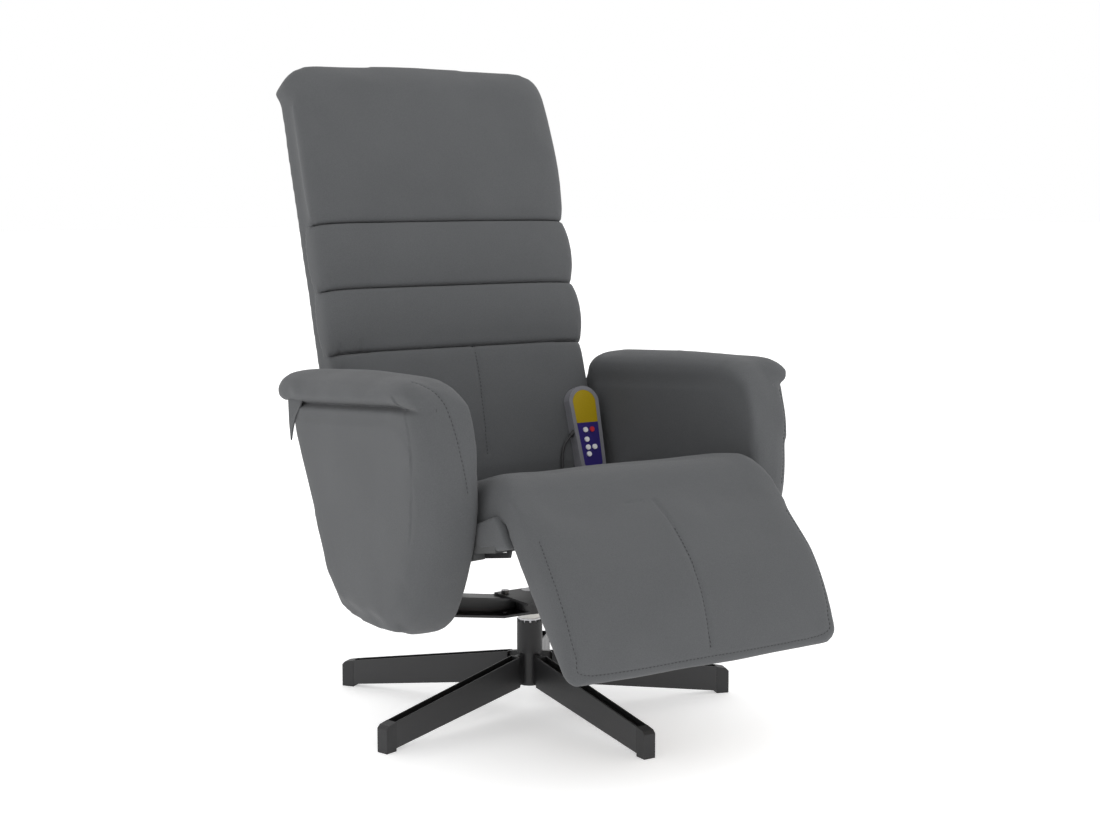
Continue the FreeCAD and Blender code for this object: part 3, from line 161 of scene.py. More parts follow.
def makeGrain():
    group, start, end = newGroup("grain", [
        ("Colour", "NodeSocketColor", (0.02, 0.02, 0.02, 1)),
        ("Scale", "NodeSocketFloat", 900.0),
        ("Rough", "NodeSocketFloat", 0.45),
        ("Depth", "NodeSocketFloat", 0.2),
    ], [("Colour", "NodeSocketColor"), ("Roughness", "NodeSocketFloat"), ("Normal", "NodeSocketVector")])
    spot = addNode(group, "ShaderNodeTexCoord")
    peel = addNode(group, "ShaderNodeTexNoise", {"Detail": 2.0})
    link(group, spot.outputs["Object"], peel.inputs["Vector"])
    link(group, start.outputs["Scale"], peel.inputs["Scale"])
    smudge = addNode(group, "ShaderNodeTexNoise", {"Scale": 18.0, "Detail": 5.0})
    link(group, spot.outputs["Object"], smudge.inputs["Vector"])
    light = addNode(group, "ShaderNodeHueSaturation", {"Value": 1.5})
    link(group, start.outputs["Colour"], light.inputs["Color"])
    link(group, mixColour(group, smudge.outputs["Fac"], start.outputs["Colour"], light.outputs["Color"]),
         end.inputs["Colour"])
    sway = addNode(group, "ShaderNodeMapRange", {"To Min": -0.08, "To Max": 0.1})
    link(group, smudge.outputs["Fac"], sway.inputs["Value"])
    total = addNode(group, "ShaderNodeMath", operation="ADD")
    link(group, start.outputs["Rough"], total.inputs[0])
    link(group, sway.outputs["Result"], total.inputs[1])
    link(group, total.outputs["Value"], end.inputs["Roughness"])
    bump = addNode(group, "ShaderNodeBump", {"Distance": 0.0005})
    link(group, start.outputs["Depth"], bump.inputs["Strength"])
    link(group, peel.outputs["Fac"], bump.inputs["Height"])
    link(group, bump.outputs["Normal"], end.inputs["Normal"])
    return group


weaveGroup = makeWeave()
grainGroup = makeGrain()


def clothMaterial(name, colour, scale=700.0):
    material = newMaterial(name)
    tree = material.node_tree
    shader = tree.nodes["Principled BSDF"]
    group = addNode(tree, "ShaderNodeGroup", node_tree=weaveGroup)
    group.inputs["Colour"].default_value = (*colour, 1)
    group.inputs["Scale"].default_value = scale
    link(tree, group.outputs["Colour"], shader.inputs["Base Color"])
    link(tree, group.outputs["Roughness"], shader.inputs["Roughness"])
    link(tree, group.outputs["Normal"], shader.inputs["Normal"])
    shader.inputs["Sheen Weight"].default_value = 0.1
    shader.inputs["Sheen Roughness"].default_value = 0.5
    shader.inputs["Specular IOR Level"].default_value = 0.25
    return material


def grainMaterial(name, colour, rough=0.45, metal=0.0, scale=900.0, depth=0.2):
    material = newMaterial(name)
    tree = material.node_tree
    shader = tree.nodes["Principled BSDF"]
    group = addNode(tree, "ShaderNodeGroup", node_tree=grainGroup)
    group.inputs["Colour"].default_value = (*colour, 1)
    group.inputs["Scale"].default_value = scale
    group.inputs["Rough"].default_value = rough
    group.inputs["Depth"].default_value = depth
    link(tree, group.outputs["Colour"], shader.inputs["Base Color"])
    link(tree, group.outputs["Roughness"], shader.inputs["Roughness"])
    link(tree, group.outputs["Normal"], shader.inputs["Normal"])
    shader.inputs["Metallic"].default_value = metal
    return material


def plyMaterial():
    material = newMaterial("plywood")
    tree = material.node_tree
    shader = tree.nodes["Principled BSDF"]
    spot = addNode(tree, "ShaderNodeTexCoord")
    stretch = addNode(tree, "ShaderNodeMapping", {"Scale": (1.0, 12.0, 12.0)})
    link(tree, spot.outputs["Object"], stretch.inputs["Vector"])
    grain = addNode(tree, "ShaderNodeTexNoise", {"Scale": 14.0, "Detail": 6.0, "Distortion": 0.6})
    link(tree, stretch.outputs["Vector"], grain.inputs["Vector"])
    link(tree, mixColour(tree, grain.outputs["Fac"], (0.30, 0.19, 0.10, 1), (0.52, 0.37, 0.22, 1)),
         shader.inputs["Base Color"])
    bump = addNode(tree, "ShaderNodeBump", {"Strength": 0.15, "Distance": 0.0008})
    link(tree, grain.outputs["Fac"], bump.inputs["Height"])
    link(tree, bump.outputs["Normal"], shader.inputs["Normal"])
    shader.inputs["Roughness"].default_value = 0.7
    return material


def overlayMaterial():
    material = newMaterial("overlay")
    tree = material.node_tree
    shader = tree.nodes["Principled BSDF"]
    spot = addNode(tree, "ShaderNodeTexCoord")
    shift = addNode(tree, "ShaderNodeVectorMath", operation="SUBTRACT")
    shift.inputs[1].default_value = backFrame["origin"]
    link(tree, spot.outputs["Object"], shift.inputs[0])
    rise = addNode(tree, "ShaderNodeVectorMath", operation="DOT_PRODUCT")
    rise.inputs[1].default_value = backFrame["up"]
    link(tree, shift.outputs["Vector"], rise.inputs[0])
    edge = addNode(tree, "ShaderNodeMapRange", {"From Min": -0.1545, "From Max": -0.1538})
    link(tree, rise.outputs["Value"], edge.inputs["Value"])
    speck = addNode(tree, "ShaderNodeTexNoise", {"Scale": 400.0})
    link(tree, spot.outputs["Object"], speck.inputs["Vector"])
    blue = mixColour(tree, speck.outputs["Fac"], (0.022, 0.014, 0.13, 1), (0.032, 0.02, 0.17, 1))
    yellow = mixColour(tree, speck.outputs["Fac"], (0.36, 0.25, 0.0, 1), (0.42, 0.30, 0.005, 1))
    link(tree, mixColour(tree, edge.outputs["Result"], blue, yellow), shader.inputs["Base Color"])
    shader.inputs["Roughness"].default_value = 0.35
    return material


clothDark = clothMaterial("clothDark", (0.093, 0.096, 0.100))
# a slightly darker copy of the seat cloth: painted shade for the frame parts under the seat that take the
# dark_lining slot
clothPaintedShade = clothMaterial("clothPaintedShade", (0.085, 0.087, 0.088))
threadDark = clothMaterial("threadDark", (0.045, 0.046, 0.048), 2400.0)
blackSteel = grainMaterial("blackSteel", (0.016, 0.016, 0.017), 0.42, 0.0, 700.0, 0.25)
# near-black painted shade for the walls and floor of the leg channels, standing in for the shade in the
# recess
channelPaintedShade = grainMaterial("channelPaintedShade", (0.002, 0.002, 0.002), 0.8, 0.0, 700.0, 0.1)
zincSteel = grainMaterial("zincSteel", (0.42, 0.42, 0.43), 0.38, 1.0, 300.0, 0.1)
blackPlastic = grainMaterial("blackPlastic", (0.015, 0.015, 0.016), 0.55, 0.0, 1600.0, 0.4)
nylonWhite = grainMaterial("nylonWhite", (0.7, 0.69, 0.66), 0.5, 0.0, 500.0, 0.1)
handsetGrey = grainMaterial("handsetGrey", (0.15, 0.15, 0.165), 0.5, 0.0, 1800.0, 0.35)
buttonWhite = grainMaterial("buttonWhite", (0.68, 0.68, 0.68), 0.45, 0.0, 1800.0, 0.15)
buttonRed = grainMaterial("buttonRed", (0.45, 0.02, 0.03), 0.45, 0.0, 1800.0, 0.15)
cordSheath = grainMaterial("cordSheath", (0.02, 0.02, 0.021), 0.6, 0.0, 900.0, 0.3)
plywood = plyMaterial()
overlay = overlayMaterial()
slotMaterials = {
    "fabric": clothDark, "black_steel": blackSteel, "plywood": plywood, "steel": zincSteel,
    "black_plastic": blackPlastic, "nylon": nylonWhite, "handset_shell": handsetGrey, "overlay": overlay,
    # the dark_lining parts under the seat get the cloth with painted shade
    "white_button": buttonWhite, "red_button": buttonRed, "cord": cordSheath, "dark_lining": clothPaintedShade,
}
for entry in frame["record"]["subparts"]:
    node = nodes[entry["node"]]
    node.data.materials.clear()
    node.data.materials.append(slotMaterials[entry["material_slot"]])
print("stage: materials")

# Soft covers: the solids of one upholstered part joined by voxels, swollen by cloth pressure, then sewn

def realMesh(obj, name):
    depsgraph = bpy.context.evaluated_depsgraph_get()
    mesh = bpy.data.meshes.new_from_object(obj.evaluated_get(depsgraph))
    mesh.name = name
    obj.modifiers.clear()
    old = obj.data
    obj.data = mesh
    if old.users == 0:
        bpy.data.meshes.remove(old)
    return obj


def loft(rings):
    mesh = bpy.data.meshes.new("filler")
    count = len(rings[0])
    points = [point for ring in rings for point in ring]
    last = len(points) - count
    faces = [tuple(range(count)), tuple(range(last, last + count))]
    for base in range(0, last, count):
        for first in range(count):
            second = (first + 1) % count
            faces.append((base + first, base + first + count, base + second + count, base + second))
    mesh.from_pydata(points, [], faces)
    shell = bmesh.new()
    shell.from_mesh(mesh)
    bmesh.ops.recalc_face_normals(shell, faces=shell.faces)
    shell.to_mesh(mesh)
    shell.free()
    return mesh


def prism(outline, place, low, high):
    return loft([[outOf(place, x, y, z) for y, z in outline] for x in (low, high)])


def joined(name, nodeNames, fillers, voxel, relaxing):
    shell = bmesh.new()
    for nodeName in nodeNames:
        shell.from_mesh(nodes[nodeName].data)
    for filler in fillers:
        shell.from_mesh(filler)
        bpy.data.meshes.remove(filler)
    mesh = bpy.data.meshes.new(name)
    shell.to_mesh(mesh)
    shell.free()
    mesh.materials.clear()
    obj = bpy.data.objects.new(name, mesh)
    scene.collection.objects.link(obj)
    shaper = obj.modifiers.new("voxels", "REMESH")
    shaper.mode = "VOXEL"
    shaper.voxel_size = voxel
    realMesh(obj, name)
    relax = obj.modifiers.new("relax", "SMOOTH")
    relax.factor = 0.5
    relax.iterations = relaxing
    realMesh(obj, name)
    return obj


def heldPoints(obj, holds):
    facing = 0.75
    return [vertex.index for vertex in obj.data.vertices
            if any(vertex.normal.dot(axis) > facing for axis in holds)]


clothSettings = {
    "quality": 4, "mass": 0.3, "use_pressure": True, "uniform_pressure_force": 4.0,
    "vertex_group_mass": "held", "tension_stiffness": 12, "compression_stiffness": 12,
    "bending_stiffness": 0.6,
}
clothFrames = 20
smoothingTurns = 8


def inflate(obj, held, cap):
    start = [vertex.co.copy() for vertex in obj.data.vertices]
    group = obj.vertex_groups.new(name="held")
    group.add(held, 1.0, "REPLACE")
    cloth = obj.modifiers.new("cloth", "CLOTH")
    for key, value in clothSettings.items():
        setattr(cloth.settings, key, value)
    cloth.settings.effector_weights.gravity = 0
    cloth.collision_settings.use_collision = False
    cloth.point_cache.frame_start = 1
    cloth.point_cache.frame_end = clothFrames
    for step in range(1, clothFrames + 1):
        scene.frame_set(step)
    depsgraph = bpy.context.evaluated_depsgraph_get()
    swollen = [vertex.co.copy() for vertex in obj.evaluated_get(depsgraph).data.vertices]
    obj.modifiers.clear()
    obj.vertex_groups.clear()
    scene.frame_set(1)
    moves = [after - before for before, after in zip(start, swollen)]
    moves = [move * min(1.0, cap / max(move.length, 1e-9)) for move in moves]
    for turn in range(smoothingTurns):
        sums = [move.copy() for move in moves]
        counts = [1] * len(moves)
        for edge in obj.data.edges:
            first, second = edge.vertices
            sums[first] += moves[second]
            sums[second] += moves[first]
            counts[first] += 1
            counts[second] += 1
        moves = [total / count for total, count in zip(sums, counts)]
    for vertex, before, move in zip(obj.data.vertices, start, moves):
        vertex.co = before + move


def subdivide(obj):
    smooth = obj.modifiers.new("smooth", "SUBSURF")
    smooth.levels = 1
    smooth.render_levels = 1
    return realMesh(obj, obj.name)


def shift(obj, distanceOf, depth, width):
    moves = []
    for vertex in obj.data.vertices:
        distance = distanceOf(vertex.co, vertex.normal)
        if distance is not None and distance < 3 * width:
            moves.append((vertex, vertex.normal * (-depth * math.exp(-(distance / width) ** 2))))
    for vertex, move in moves:
        vertex.co += move


def ripple(obj, height, size, seed):
    moves = []
    for vertex in obj.data.vertices:
        spot = vertex.co * (1 / size) + Vector((seed, seed * 0.7, -seed))
        moves.append((vertex, vertex.normal * (height * noise.noise(spot))))
    for vertex, move in moves:
        vertex.co += move


rippleHeight = 0.0012
rippleSize = 0.09


def softCover(spec):
    obj = joined(spec["name"], spec["joins"], spec.get("fillers", []), spec["voxel"], spec["relax"])
    inflate(obj, heldPoints(obj, spec["holds"]), spec["cap"])
    ripple(obj, rippleHeight, rippleSize, spec["seed"])
    subdivide(obj)
    for polygon in obj.data.polygons:
        polygon.use_smooth = True
    for distanceOf, depth, width in spec.get("creases", []):
        shift(obj, distanceOf, depth, width)
    for extra in spec.get("extras", []):
        shell = bmesh.new()
        shell.from_mesh(obj.data)
        shell.from_mesh(extra)
        shell.to_mesh(obj.data)
        shell.free()
        bpy.data.meshes.remove(extra)
    obj.data.materials.append(clothDark)
    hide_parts(*spec["stands"])
    print("stage: soft", spec["name"], len(obj.data.vertices))
    return obj


def faded(distance, share):
    return distance + 0.02 * (1 - max(0.0, min(1.0, share)))


def channelAt(level):
    def distanceOf(point, normal):
        spot = inFrame(backFrame, point)
        if spot.y > 0.012:
            return None
        return abs(spot.z - level)
    return distanceOf


def droop(obj, level, reach):
    frontDepth, mostFall, mostRise = 0.02, 0.0062, 0.0024
    for vertex in obj.data.vertices:
        spot = inFrame(backFrame, vertex.co)
        if spot.y < frontDepth:
            fall = mostFall * math.exp(-((spot.z - level - reach) / reach) ** 2)
            rise = mostRise * math.exp(-((spot.z - level + reach) / reach) ** 2)
            vertex.co += backFrame["up"] * (rise - fall)


def plump(obj, low, high, reach):
    frontDepth, edgeStart, edgeWidth = 0.03, 0.17, 0.06
    for vertex in obj.data.vertices:
        spot = inFrame(backFrame, vertex.co)
        if low < spot.z < high and spot.y < frontDepth:
            edge = max(0.0, min(1.0, (abs(spot.x) - edgeStart) / edgeWidth))
            bow = math.sin(math.pi * (spot.z - low) / (high - low)) ** 0.6
            vertex.co.x += math.copysign(reach * edge * bow, spot.x)


def foldLine(firstX, firstUp, lastX, lastUp):
    along = Vector((lastX - firstX, lastUp - firstUp))

    def distanceOf(point, normal):
        spot = inFrame(backFrame, point)
        if spot.y > 0.015:
            return None
        flat = Vector((spot.x - firstX, spot.z - firstUp))
        share = flat.dot(along) / along.length_squared
        return faded((flat - along * max(0.0, min(1.0, share))).length, 1.2 - share)
    return distanceOf


def nearLine(points):
    def distanceOf(point, normal):
        nearest = 1.0
        for first, second in zip(points, points[1:]):
            along = second - first
            share = max(0.0, min(1.0, (point - first).dot(along) / along.length_squared))
            nearest = min(nearest, (point - first - along * share).length)
        return nearest
    return distanceOf


def smoothLine(points, count):
    rows = []
    for index in range(len(points) - 1):
        before, first = points[max(index - 1, 0)], points[index]
        second, after = points[index + 1], points[min(index + 2, len(points) - 1)]
        for step in range(count):
            t = step / count
            rows.append(0.5 * (2 * first + (second - before) * t
                               + (2 * before - 5 * first + 4 * second - after) * t * t
                               + (3 * first - before - 3 * second + after) * t ** 3))
    return rows + [points[-1]]


def settled(cover, points, count=6):
    tree = BVHTree.FromPolygons([vertex.co for vertex in cover.data.vertices],
                                [polygon.vertices for polygon in cover.data.polygons])
    spots = [tree.find_nearest(point)[:2] for point in smoothLine(points, count)]
    return [spot + normal * 0.0002 for spot, normal in spots]


def sew(cover, points, depth, width):
    line = settled(cover, points)
    shift(cover, nearLine(line), depth, width)
    return settled(cover, line, 1)


def makeStitches():
    group = bpy.data.node_groups.new("stitches", "GeometryNodeTree")
    group.interface.new_socket("Geometry", in_out="INPUT", socket_type="NodeSocketGeometry")
    group.interface.new_socket("Spacing", in_out="INPUT", socket_type="NodeSocketFloat")
    group.interface.new_socket("Thread", in_out="INPUT", socket_type="NodeSocketMaterial")
    group.interface.new_socket("Geometry", in_out="OUTPUT", socket_type="NodeSocketGeometry")
    start, end = group.nodes.new("NodeGroupInput"), group.nodes.new("NodeGroupOutput")
    spread = addNode(group, "GeometryNodeCurveToPoints", mode="LENGTH")
    bead = addNode(group, "GeometryNodeMeshUVSphere", {"Segments": 6, "Rings": 4, "Radius": 1.0})
    shape = addNode(group, "GeometryNodeTransform", {"Scale": (0.0006, 0.0006, 0.0021)})
    copies = addNode(group, "GeometryNodeInstanceOnPoints")
    solid = addNode(group, "GeometryNodeRealizeInstances")
    dress = addNode(group, "GeometryNodeSetMaterial")
    link(group, start.outputs["Geometry"], spread.inputs["Curve"])
    link(group, start.outputs["Spacing"], spread.inputs["Length"])
    link(group, bead.outputs["Mesh"], shape.inputs["Geometry"])
    link(group, spread.outputs["Points"], copies.inputs["Points"])
    link(group, spread.outputs["Rotation"], copies.inputs["Rotation"])
    link(group, shape.outputs["Geometry"], copies.inputs["Instance"])
    link(group, copies.outputs["Instances"], solid.inputs["Geometry"])
    link(group, solid.outputs["Geometry"], dress.inputs["Geometry"])
    link(group, start.outputs["Thread"], dress.inputs["Material"])
    link(group, dress.outputs["Geometry"], end.inputs["Geometry"])
    return group


stitchGroup = makeStitches()


def stitchRows(name, lines, body, spacing=0.0065):
    curve = bpy.data.curves.new(name, "CURVE")
    curve.dimensions = "3D"
    for line in lines:
        spline = curve.splines.new("POLY")
        spline.points.add(len(line) - 1)
        for point, spot in zip(spline.points, line):
            point.co = (*spot, 1)
    guide = bpy.data.objects.new(name + "Guide", curve)
    scene.collection.objects.link(guide)
    rows = guide.modifiers.new("stitches", "NODES")
    rows.node_group = stitchGroup
    for item in stitchGroup.interface.items_tree:
        if item.in_out == "INPUT" and item.name == "Spacing":
            rows[item.identifier] = spacing
        if item.in_out == "INPUT" and item.name == "Thread":
            rows[item.identifier] = threadDark
    bpy.context.view_layer.update()
    mesh = bpy.data.meshes.new_from_object(guide.evaluated_get(bpy.context.evaluated_depsgraph_get()))
    mesh.name = name
    bpy.data.objects.remove(guide)
    bpy.data.curves.remove(curve)
    obj = bpy.data.objects.new(name, mesh)
    scene.collection.objects.link(obj)
    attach(obj, body)
    print("stage: stitches", name, len(mesh.polygons))


# Back

rollLevels = (0.0, 0.108, 0.221)
rollCrease = (0.010, 0.0045)
backPads = ["head_pad", "upper_roll", "lower_roll", "lumbar_pad", "back_panel"]
backCover = {
    "name": "backCover", "joins": backPads + ["back_board", "back_motors"], "stands": backPads,
    "voxel": 0.0068, "relax": 5, "cap": 0.006, "fill": 0.75, "seed": 3.1,
    "holds": [backFrame["along"]],
    "creases": [(channelAt(level), *rollCrease) for level in rollLevels] + [
        (foldLine(-0.262, 0.108, -0.216, 0.131), 0.0032, 0.004),
        (foldLine(-0.205, 0.004, -0.191, 0.048), 0.0016, 0.003),
        (foldLine(-0.236, 0.004, -0.229, 0.039), 0.0018, 0.003),
    ],
}
back = softCover(backCover)
for low, high in zip(rollLevels, rollLevels[1:]):
    plump(back, low, high, 0.007)
for level in rollLevels:
    droop(back, level, 0.0065)
lumbarLine = sew(back, [outOf(backFrame, 0.012, -0.01, -0.006), outOf(backFrame, 0.010, -0.015, -0.09),
                        outOf(backFrame, 0.004, -0.01, -0.19)], 0.0025, 0.0032)
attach(back, "backrest")
stitchRows("backStitches", [lumbarLine], "backrest")

# Seat and leg rest under one cover, with the gap between them filled

lipOutline = [(-0.022, 0.078), (-0.040, 0.058), (-0.053, 0.039), (-0.066, 0.019), (-0.068, 0.002),
              (-0.048, -0.006), (-0.024, 0.004), (-0.016, 0.024), (0.0, 0.050)]
lipHalf = 0.2465
seatCover = {
    "name": "seatCover", "joins": ["seat_cushion", "seat_motors", "footrest_pad", "footrest_board"],
    "stands": ["seat_cushion", "footrest_pad"],
    "fillers": [prism(lipOutline, seatFrame, -lipHalf, lipHalf)],
    "voxel": 0.0072, "relax": 8, "cap": 0.007, "fill": 0.7, "seed": 7.9,
    "holds": [-seatFrame["up"], -footFrame["up"]],
}
seat = softCover(seatCover)
kneeLine = sew(seat, [outOf(footFrame, 0, 0.004, 0.05), outOf(footFrame, 0, -0.10, 0.05),
                      outOf(footFrame, 0, -0.18, 0.05), outOf(footFrame, 0, -0.262, 0.03)], 0.0022, 0.003)
borderLine = sew(seat, [outOf(footFrame, -0.232, -0.055, 0.03), outOf(footFrame, -0.237, -0.15, 0.03),
                        outOf(footFrame, -0.233, -0.232, 0.02), outOf(footFrame, -0.208, -0.262, 0.006),
                        outOf(footFrame, 0, -0.266, 0.006), outOf(footFrame, 0.208, -0.262, 0.006),
                        outOf(footFrame, 0.233, -0.232, 0.02), outOf(footFrame, 0.237, -0.15, 0.03),
                        outOf(footFrame, 0.232, -0.055, 0.03)], 0.0013, 0.0028)
sew(seat, [outOf(footFrame, -0.052, 0.008, 0.06), outOf(footFrame, -0.022, 0.008, 0.06)], 0.0012, 0.0026)
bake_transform(seat)
lowKneeLine = [spot for spot in kneeLine if inFrame(footFrame, spot).y < -0.05]
stitchRows("footStitches", [lowKneeLine, borderLine], "footrest")

# Seat front with a skirt at each side

skirtOutline = [(-0.014, 0.024), (-0.024, 0.004), (-0.034, -0.008), (0.010, -0.011), (0.059, -0.013),
                (0.059, 0.030), (0.0, 0.040)]
skirtThick = 0.017
skirtStarts = (-0.2548, 0.2378)
fasciaCover = {
    "name": "seatFascia", "joins": ["seat_apron"], "stands": ["seat_apron"],
    "fillers": [prism(skirtOutline, seatFrame, low, low + skirtThick) for low in skirtStarts],
    "voxel": 0.0035, "relax": 4, "cap": 0.0015, "fill": 0.8, "seed": 2.2, "holds": [seatFrame["along"]],
}
fascia = softCover(fasciaCover)
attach(fascia, "seat")

# Arms, filled out at the front, the sole and the shoulder, with a pinch under the roll

armSeams = {
    "Left": [[(-0.327, -0.196, 0.583), (-0.303, -0.228, 0.559), (-0.293, -0.2514, 0.5205),
              (-0.283, -0.264, 0.458), (-0.277, -0.261, 0.4205)]],
    "Right": [[(0.338, -0.236, 0.530), (0.337, -0.247, 0.48), (0.334, -0.250, 0.43), (0.330, -0.248, 0.38)],
              [(0.331, -0.243, 0.530), (0.330, -0.254, 0.48), (0.327, -0.257, 0.43), (0.323, -0.254, 0.38)]],
}
armShape = {
    "inner": 0.255, "outer": 0.346, "rollHalf": 0.051, "rollCentre": 0.306, "rollLow": 0.540,
    "pinchLow": 0.5385, "slope": 0.078, "bend": -0.170, "frontRound": 0.042,
}


def rollFall(y):
    return armShape["slope"] * max(0, y - armShape["bend"])


def rollRings(sign):
    rings = []
    for y, wide, rise, top, lift in [
        (0.218, 0.50, 0.017, 0.535, 0), (0.215, 0.76, 0.008, 0.548, 0), (0.207, 0.93, 0.002, 0.557, 0),
        (0.190, 1.0, 0, 0.564, 0), (0.098, 1.0, 0, 0.568, 0), (0, 1.0, 0, 0.575, 0),
        (-0.110, 1.0, 0, 0.580, 0), (-0.170, 1.0, 0, 0.582, 0.003), (-0.198, 1.0, 0, 0.576, 0.008),
        (-0.217, 1.0, 0, 0.566, 0.012), (-0.232, 0.99, 0, 0.554, 0.013), (-0.241, 0.97, 0, 0.546, 0.010),
    ]:
        low = armShape["rollLow"] - rollFall(y) + rise
        tall = top - low
        dip = 0.014 if y < 0.15 else 0
        half = armShape["rollHalf"] * wide
        centre = armShape["rollCentre"] if y > 0 else armShape["inner"] + half
        near, far = centre - half, centre + half
        profile = [
            (near + 0.003, low - dip), (near, low + tall * 0.35), (near + 0.003, low + tall * 0.62),
            (near + 0.013, low + tall * 0.86), (near + 0.030, low + tall * 0.97), (centre, top),
            (far - 0.024, low + tall * 0.97 + lift), (far - 0.008, low + tall * 0.82 + lift),
            (far, low + tall * 0.5 + lift), (far - 0.003, low + tall * 0.2), (far - 0.014, low),
            (centre + half * 0.1, low - dip),
        ]
        rings.append([outOf(chairFrame, sign * x, y, z) for x, z in profile])
    return rings


def armFillers(sign):
    brow = [(-0.170, 0.470), (-0.170, 0.545), (-0.242, 0.543), (-0.2495, 0.525), (-0.2565, 0.505),
            (-0.2605, 0.488), (-0.2625, 0.460), (-0.240, 0.440)]
    sole = [(0.118, 0.345), (0.064, 0.240), (0.024, 0.2025), (-0.008, 0.1935), (-0.044, 0.1895),
            (-0.083, 0.1895), (-0.117, 0.1905), (-0.160, 0.196), (-0.160, 0.260), (0.060, 0.345)]
    shoulder = [(-0.240, 0.455), (-0.240, 0.542), (-0.170, 0.542), (0.165, 0.516), (0.155, 0.455)]
    wing = [(0.080, 0.260), (0.125, 0.300), (0.168, 0.360), (0.206, 0.440), (0.220, 0.515), (0.120, 0.540),
            (0.060, 0.400)]
    return [loft(rollRings(sign))] + [
        prism([(y + inset, z - inset * drop) for y, z in outline], chairFrame, sign * low, sign * high)
        for outline, low, high, inset, drop in (
            (brow, 0.2555, 0.326, 0, 0), (brow, 0.300, 0.338, 0.006, 0.5), (brow, 0.300, 0.344, 0.014, 0.5),
            (shoulder, 0.257, 0.343, 0, 0), (wing, 0.2565, 0.282, 0, 0), (sole, 0.270, 0.337, 0, 0),
        )
    ]


flapOutline = [(0.173, 0.522), (0.131, 0.520), (0.136, 0.508), (0.147, 0.493), (0.157, 0.474),
               (0.165, 0.452), (0.170, 0.480)]
flapSpan = (-0.3495, -0.3470)


def frontAt(z):
    nose, crown, reach = 0.453, 0.135, 0.094
    if z > nose:
        return armShape["bend"] - reach * math.sqrt(max(0.0, 1 - ((z - nose) / crown) ** 2))
    return armShape["bend"] - reach + 4.36 * (nose - z) ** 2.9


def roundFront(obj, sign, radius):
    low, high, fadeOver = 0.20, 0.56, 0.05
    for vertex in obj.data.vertices:
        spot = vertex.co
        if not low < spot.z < high:
            continue
        fade = min(1.0, (high - spot.z) / fadeOver)
        ahead = frontAt(spot.z) + setback + radius - spot.y
        aside = sign * spot.x - (armShape["outer"] - radius)
        reach = math.hypot(ahead, aside)
        if ahead > 0 and aside > 0 and reach > radius:
            spot.x -= sign * aside * (1 - radius / reach) * fade
            spot.y += ahead * (1 - radius / reach) * fade


def pinch(obj, sign):
    inmost, rearmost, depth, width = 0.315, 0.20, 0.013, 0.0048
    fadeStart, fadeOver = -0.262, 0.09
    for vertex in obj.data.vertices:
        spot = vertex.co
        along = spot.y - setback
        if sign * spot.x < inmost or along > rearmost:
            continue
        level = armShape["pinchLow"] - rollFall(along)
        fade = max(0.0, min(1.0, (along - fadeStart) / fadeOver))
        spot.x -= sign * depth * fade * math.exp(-((spot.z - level) / width) ** 2)


for side, sign, seed in (("Left", -1, 1.7), ("Right", 1, 5.3)):
    lower = side.lower()
    arm = softCover({
        "name": "arm" + side, "joins": [f"arm_pad_{lower}", f"arm_board_{lower}"],
        "stands": [f"arm_pad_{lower}", f"arm_roll_{lower}"], "fillers": armFillers(sign),
        "voxel": 0.005, "relax": 9, "cap": 0.004, "fill": 0.65, "seed": seed,
        "holds": [Vector((-sign, 0, 0))],
        "extras": [prism(flapOutline, chairFrame, *flapSpan)] if side == "Left" else [],
    })
    roundFront(arm, sign, armShape["frontRound"])
    pinch(arm, sign)
    seams = [[outOf(chairFrame, *spot) for spot in seam] for seam in armSeams[side]]
    lines = [sew(arm, seam, 0.0014, 0.0028) for seam in seams]
    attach(arm, "seat")
    stitchRows("armStitches" + side, lines, "seat")

# Star legs with open top channels, in place of the plain bars, with painted shade on the channel walls and
# floor

legCount = 5
firstLegTurn = 270 - 1.5
legHalf, neckHalf, rimWide, channelDepth = 0.010, 0.004, 0.0023, 0.008
legStations = {
    "neck": {"along": 0.019, "low": 0.0404, "high": 0.0921},
    "near": {"along": 0.035, "low": 0.0386, "high": 0.0899},
    "neckEnd": {"along": 0.036, "low": 0.0386, "high": 0.0899},
    "rootEnd": {"along": 0.0375, "low": 0.0383, "high": 0.0895},
    "far": {"along": 0.325, "low": 0.0045, "high": 0.0462},
}
# the faces of the channel walls and floor, which take the near-black painted shade
paintedShadeFaces = (4, 5, 6)


def legSpots(turn, along, profile):
    ahead, across = Vector((math.cos(turn), math.sin(turn), 0)), Vector((-math.sin(turn), math.cos(turn), 0))
    return [Vector((0, setback, height)) + ahead * along + across * aside for aside, height in profile]


def barRing(turn, half, along, low, high):
    return legSpots(turn, along, [(-half, low), (-half, high), (half, high), (half, low)])


def channelRing(turn, along, low, high):
    inner, floor = legHalf - rimWide, high - channelDepth
    return legSpots(turn, along, [
        (-legHalf, low), (-legHalf, high), (-inner, high), (-inner, floor), (inner, floor), (inner, high),
        (legHalf, high), (legHalf, low),
    ])


legShell = bmesh.new()
for number in range(legCount):
    turn = math.radians(firstLegTurn + 360 / legCount * number)
    channel = loft([channelRing(turn, **legStations[end]) for end in ("near", "far")])
    for index in paintedShadeFaces:
        channel.polygons[index].material_index = 1
    root = loft([barRing(turn, legHalf, **legStations[end]) for end in ("near", "rootEnd")])
    neck = loft([barRing(turn, neckHalf, **legStations[end]) for end in ("neck", "neckEnd")])
    for mesh in (channel, root, neck):
        legShell.from_mesh(mesh)
        bpy.data.meshes.remove(mesh)
legMesh = bpy.data.meshes.new("starLegs")
legShell.to_mesh(legMesh)
legShell.free()
legMesh.materials.append(blackSteel)
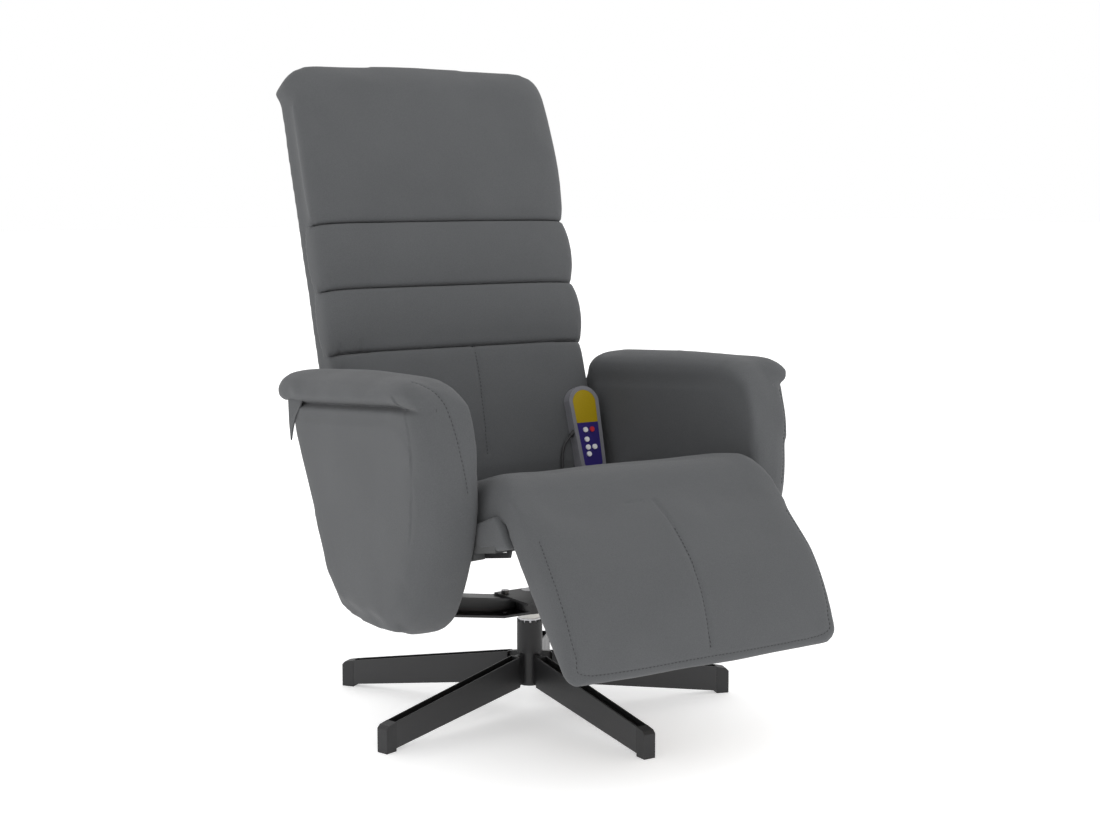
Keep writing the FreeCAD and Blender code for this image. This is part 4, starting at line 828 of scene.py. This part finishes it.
# second slot: the painted shade inside the channels
legMesh.materials.append(channelPaintedShade)
star = bpy.data.objects.new("starLegs", legMesh)
scene.collection.objects.link(star)
edges = star.modifiers.new("edges", "BEVEL")
edges.width = 0.0007
edges.segments = 2
edges.limit_method = "ANGLE"
realMesh(star, "starLegs")
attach(star, "base")
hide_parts(*[f"base_leg_{number}" for number in range(1, legCount + 1)])
print("stage: legs")

# Handset cord along the route of its solid

millimetre = 0.001
cordRoute = [(171.0, 130.8, 424.0), (160.0, 130.6, 414.0), (153.5, 130.2, 399.0), (151.0, 127.6, 381.0),
             (150.5, 124.0, 361.0), (150.8, 122.0, 339.0), (151.0, 121.6, 316.0), (151.2, 121.6, 294.0)]
cordCurve = bpy.data.curves.new("handsetCord", "CURVE")
cordCurve.dimensions = "3D"
cordCurve.bevel_depth = 0.0025
cordCurve.bevel_resolution = 5
cordCurve.use_fill_caps = True
spline = cordCurve.splines.new("NURBS")
spline.points.add(len(cordRoute) - 1)
for point, (x, y, z) in zip(spline.points, cordRoute):
    point.co = (x * millimetre, y * millimetre + setback, z * millimetre, 1)
spline.order_u = 3
spline.use_endpoint_u = True
cord = bpy.data.objects.new("handsetCord", cordCurve)
scene.collection.objects.link(cord)
cordCurve.materials.append(cordSheath)
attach(cord, "seat")
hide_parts("handset_cord")
print("stage: cord")

# Floor, light and camera

floorMesh = bpy.data.meshes.new("floor")
floorHalf = 30
floorCorners = [(-floorHalf, -floorHalf, 0), (floorHalf, -floorHalf, 0), (floorHalf, floorHalf, 0),
                (-floorHalf, floorHalf, 0)]
floorMesh.from_pydata(floorCorners, [], [(0, 1, 2, 3)])
floor = bpy.data.objects.new("floor", floorMesh)
scene.collection.objects.link(floor)
floorPale = newMaterial("floorPale")
floorShader = floorPale.node_tree.nodes["Principled BSDF"]
floorShader.inputs["Base Color"].default_value = (0.9, 0.9, 0.9, 1)
floorShader.inputs["Roughness"].default_value = 0.8
floorShader.inputs["Emission Color"].default_value = (1, 1, 1, 1)
floorShader.inputs["Emission Strength"].default_value = 0.42
floorMesh.materials.append(floorPale)

world = bpy.data.worlds.new("studio")
world.use_nodes = True
world.node_tree.nodes["Background"].inputs["Color"].default_value = (1, 1, 1, 1)
world.node_tree.nodes["Background"].inputs["Strength"].default_value = 1.0
scene.world = world


def areaLight(name, place, target, size, power):
    data = bpy.data.lights.new(name, "AREA")
    data.size = size
    data.energy = power
    lamp = bpy.data.objects.new(name, data)
    lamp.location = place
    lamp.rotation_euler = (Vector(target) - Vector(place)).to_track_quat("-Z", "Y").to_euler()
    scene.collection.objects.link(lamp)


areaLight("keyLight", (-2.4, -2.6, 3.2), (0, 0, 0.5), 2.2, 11)
areaLight("fillLight", (2.8, -1.8, 2.2), (0, 0, 0.5), 2.5, 6)
areaLight("rimLight", (0.5, 3.0, 2.8), (0, 0, 0.7), 2.0, 8)

cameraData = bpy.data.cameras.new("camera")
cameraData.sensor_width = 36
cameraData.lens = 60.8
camera = bpy.data.objects.new("camera", cameraData)
camera.location = (-1.639, -2.524 + setback, 0.862)
camera.rotation_euler = (math.radians(90 - 7.03), 0, math.radians(-33.64))
scene.collection.objects.link(camera)
scene.camera = camera
scene.view_settings.view_transform = "Standard"

print("stage: done")
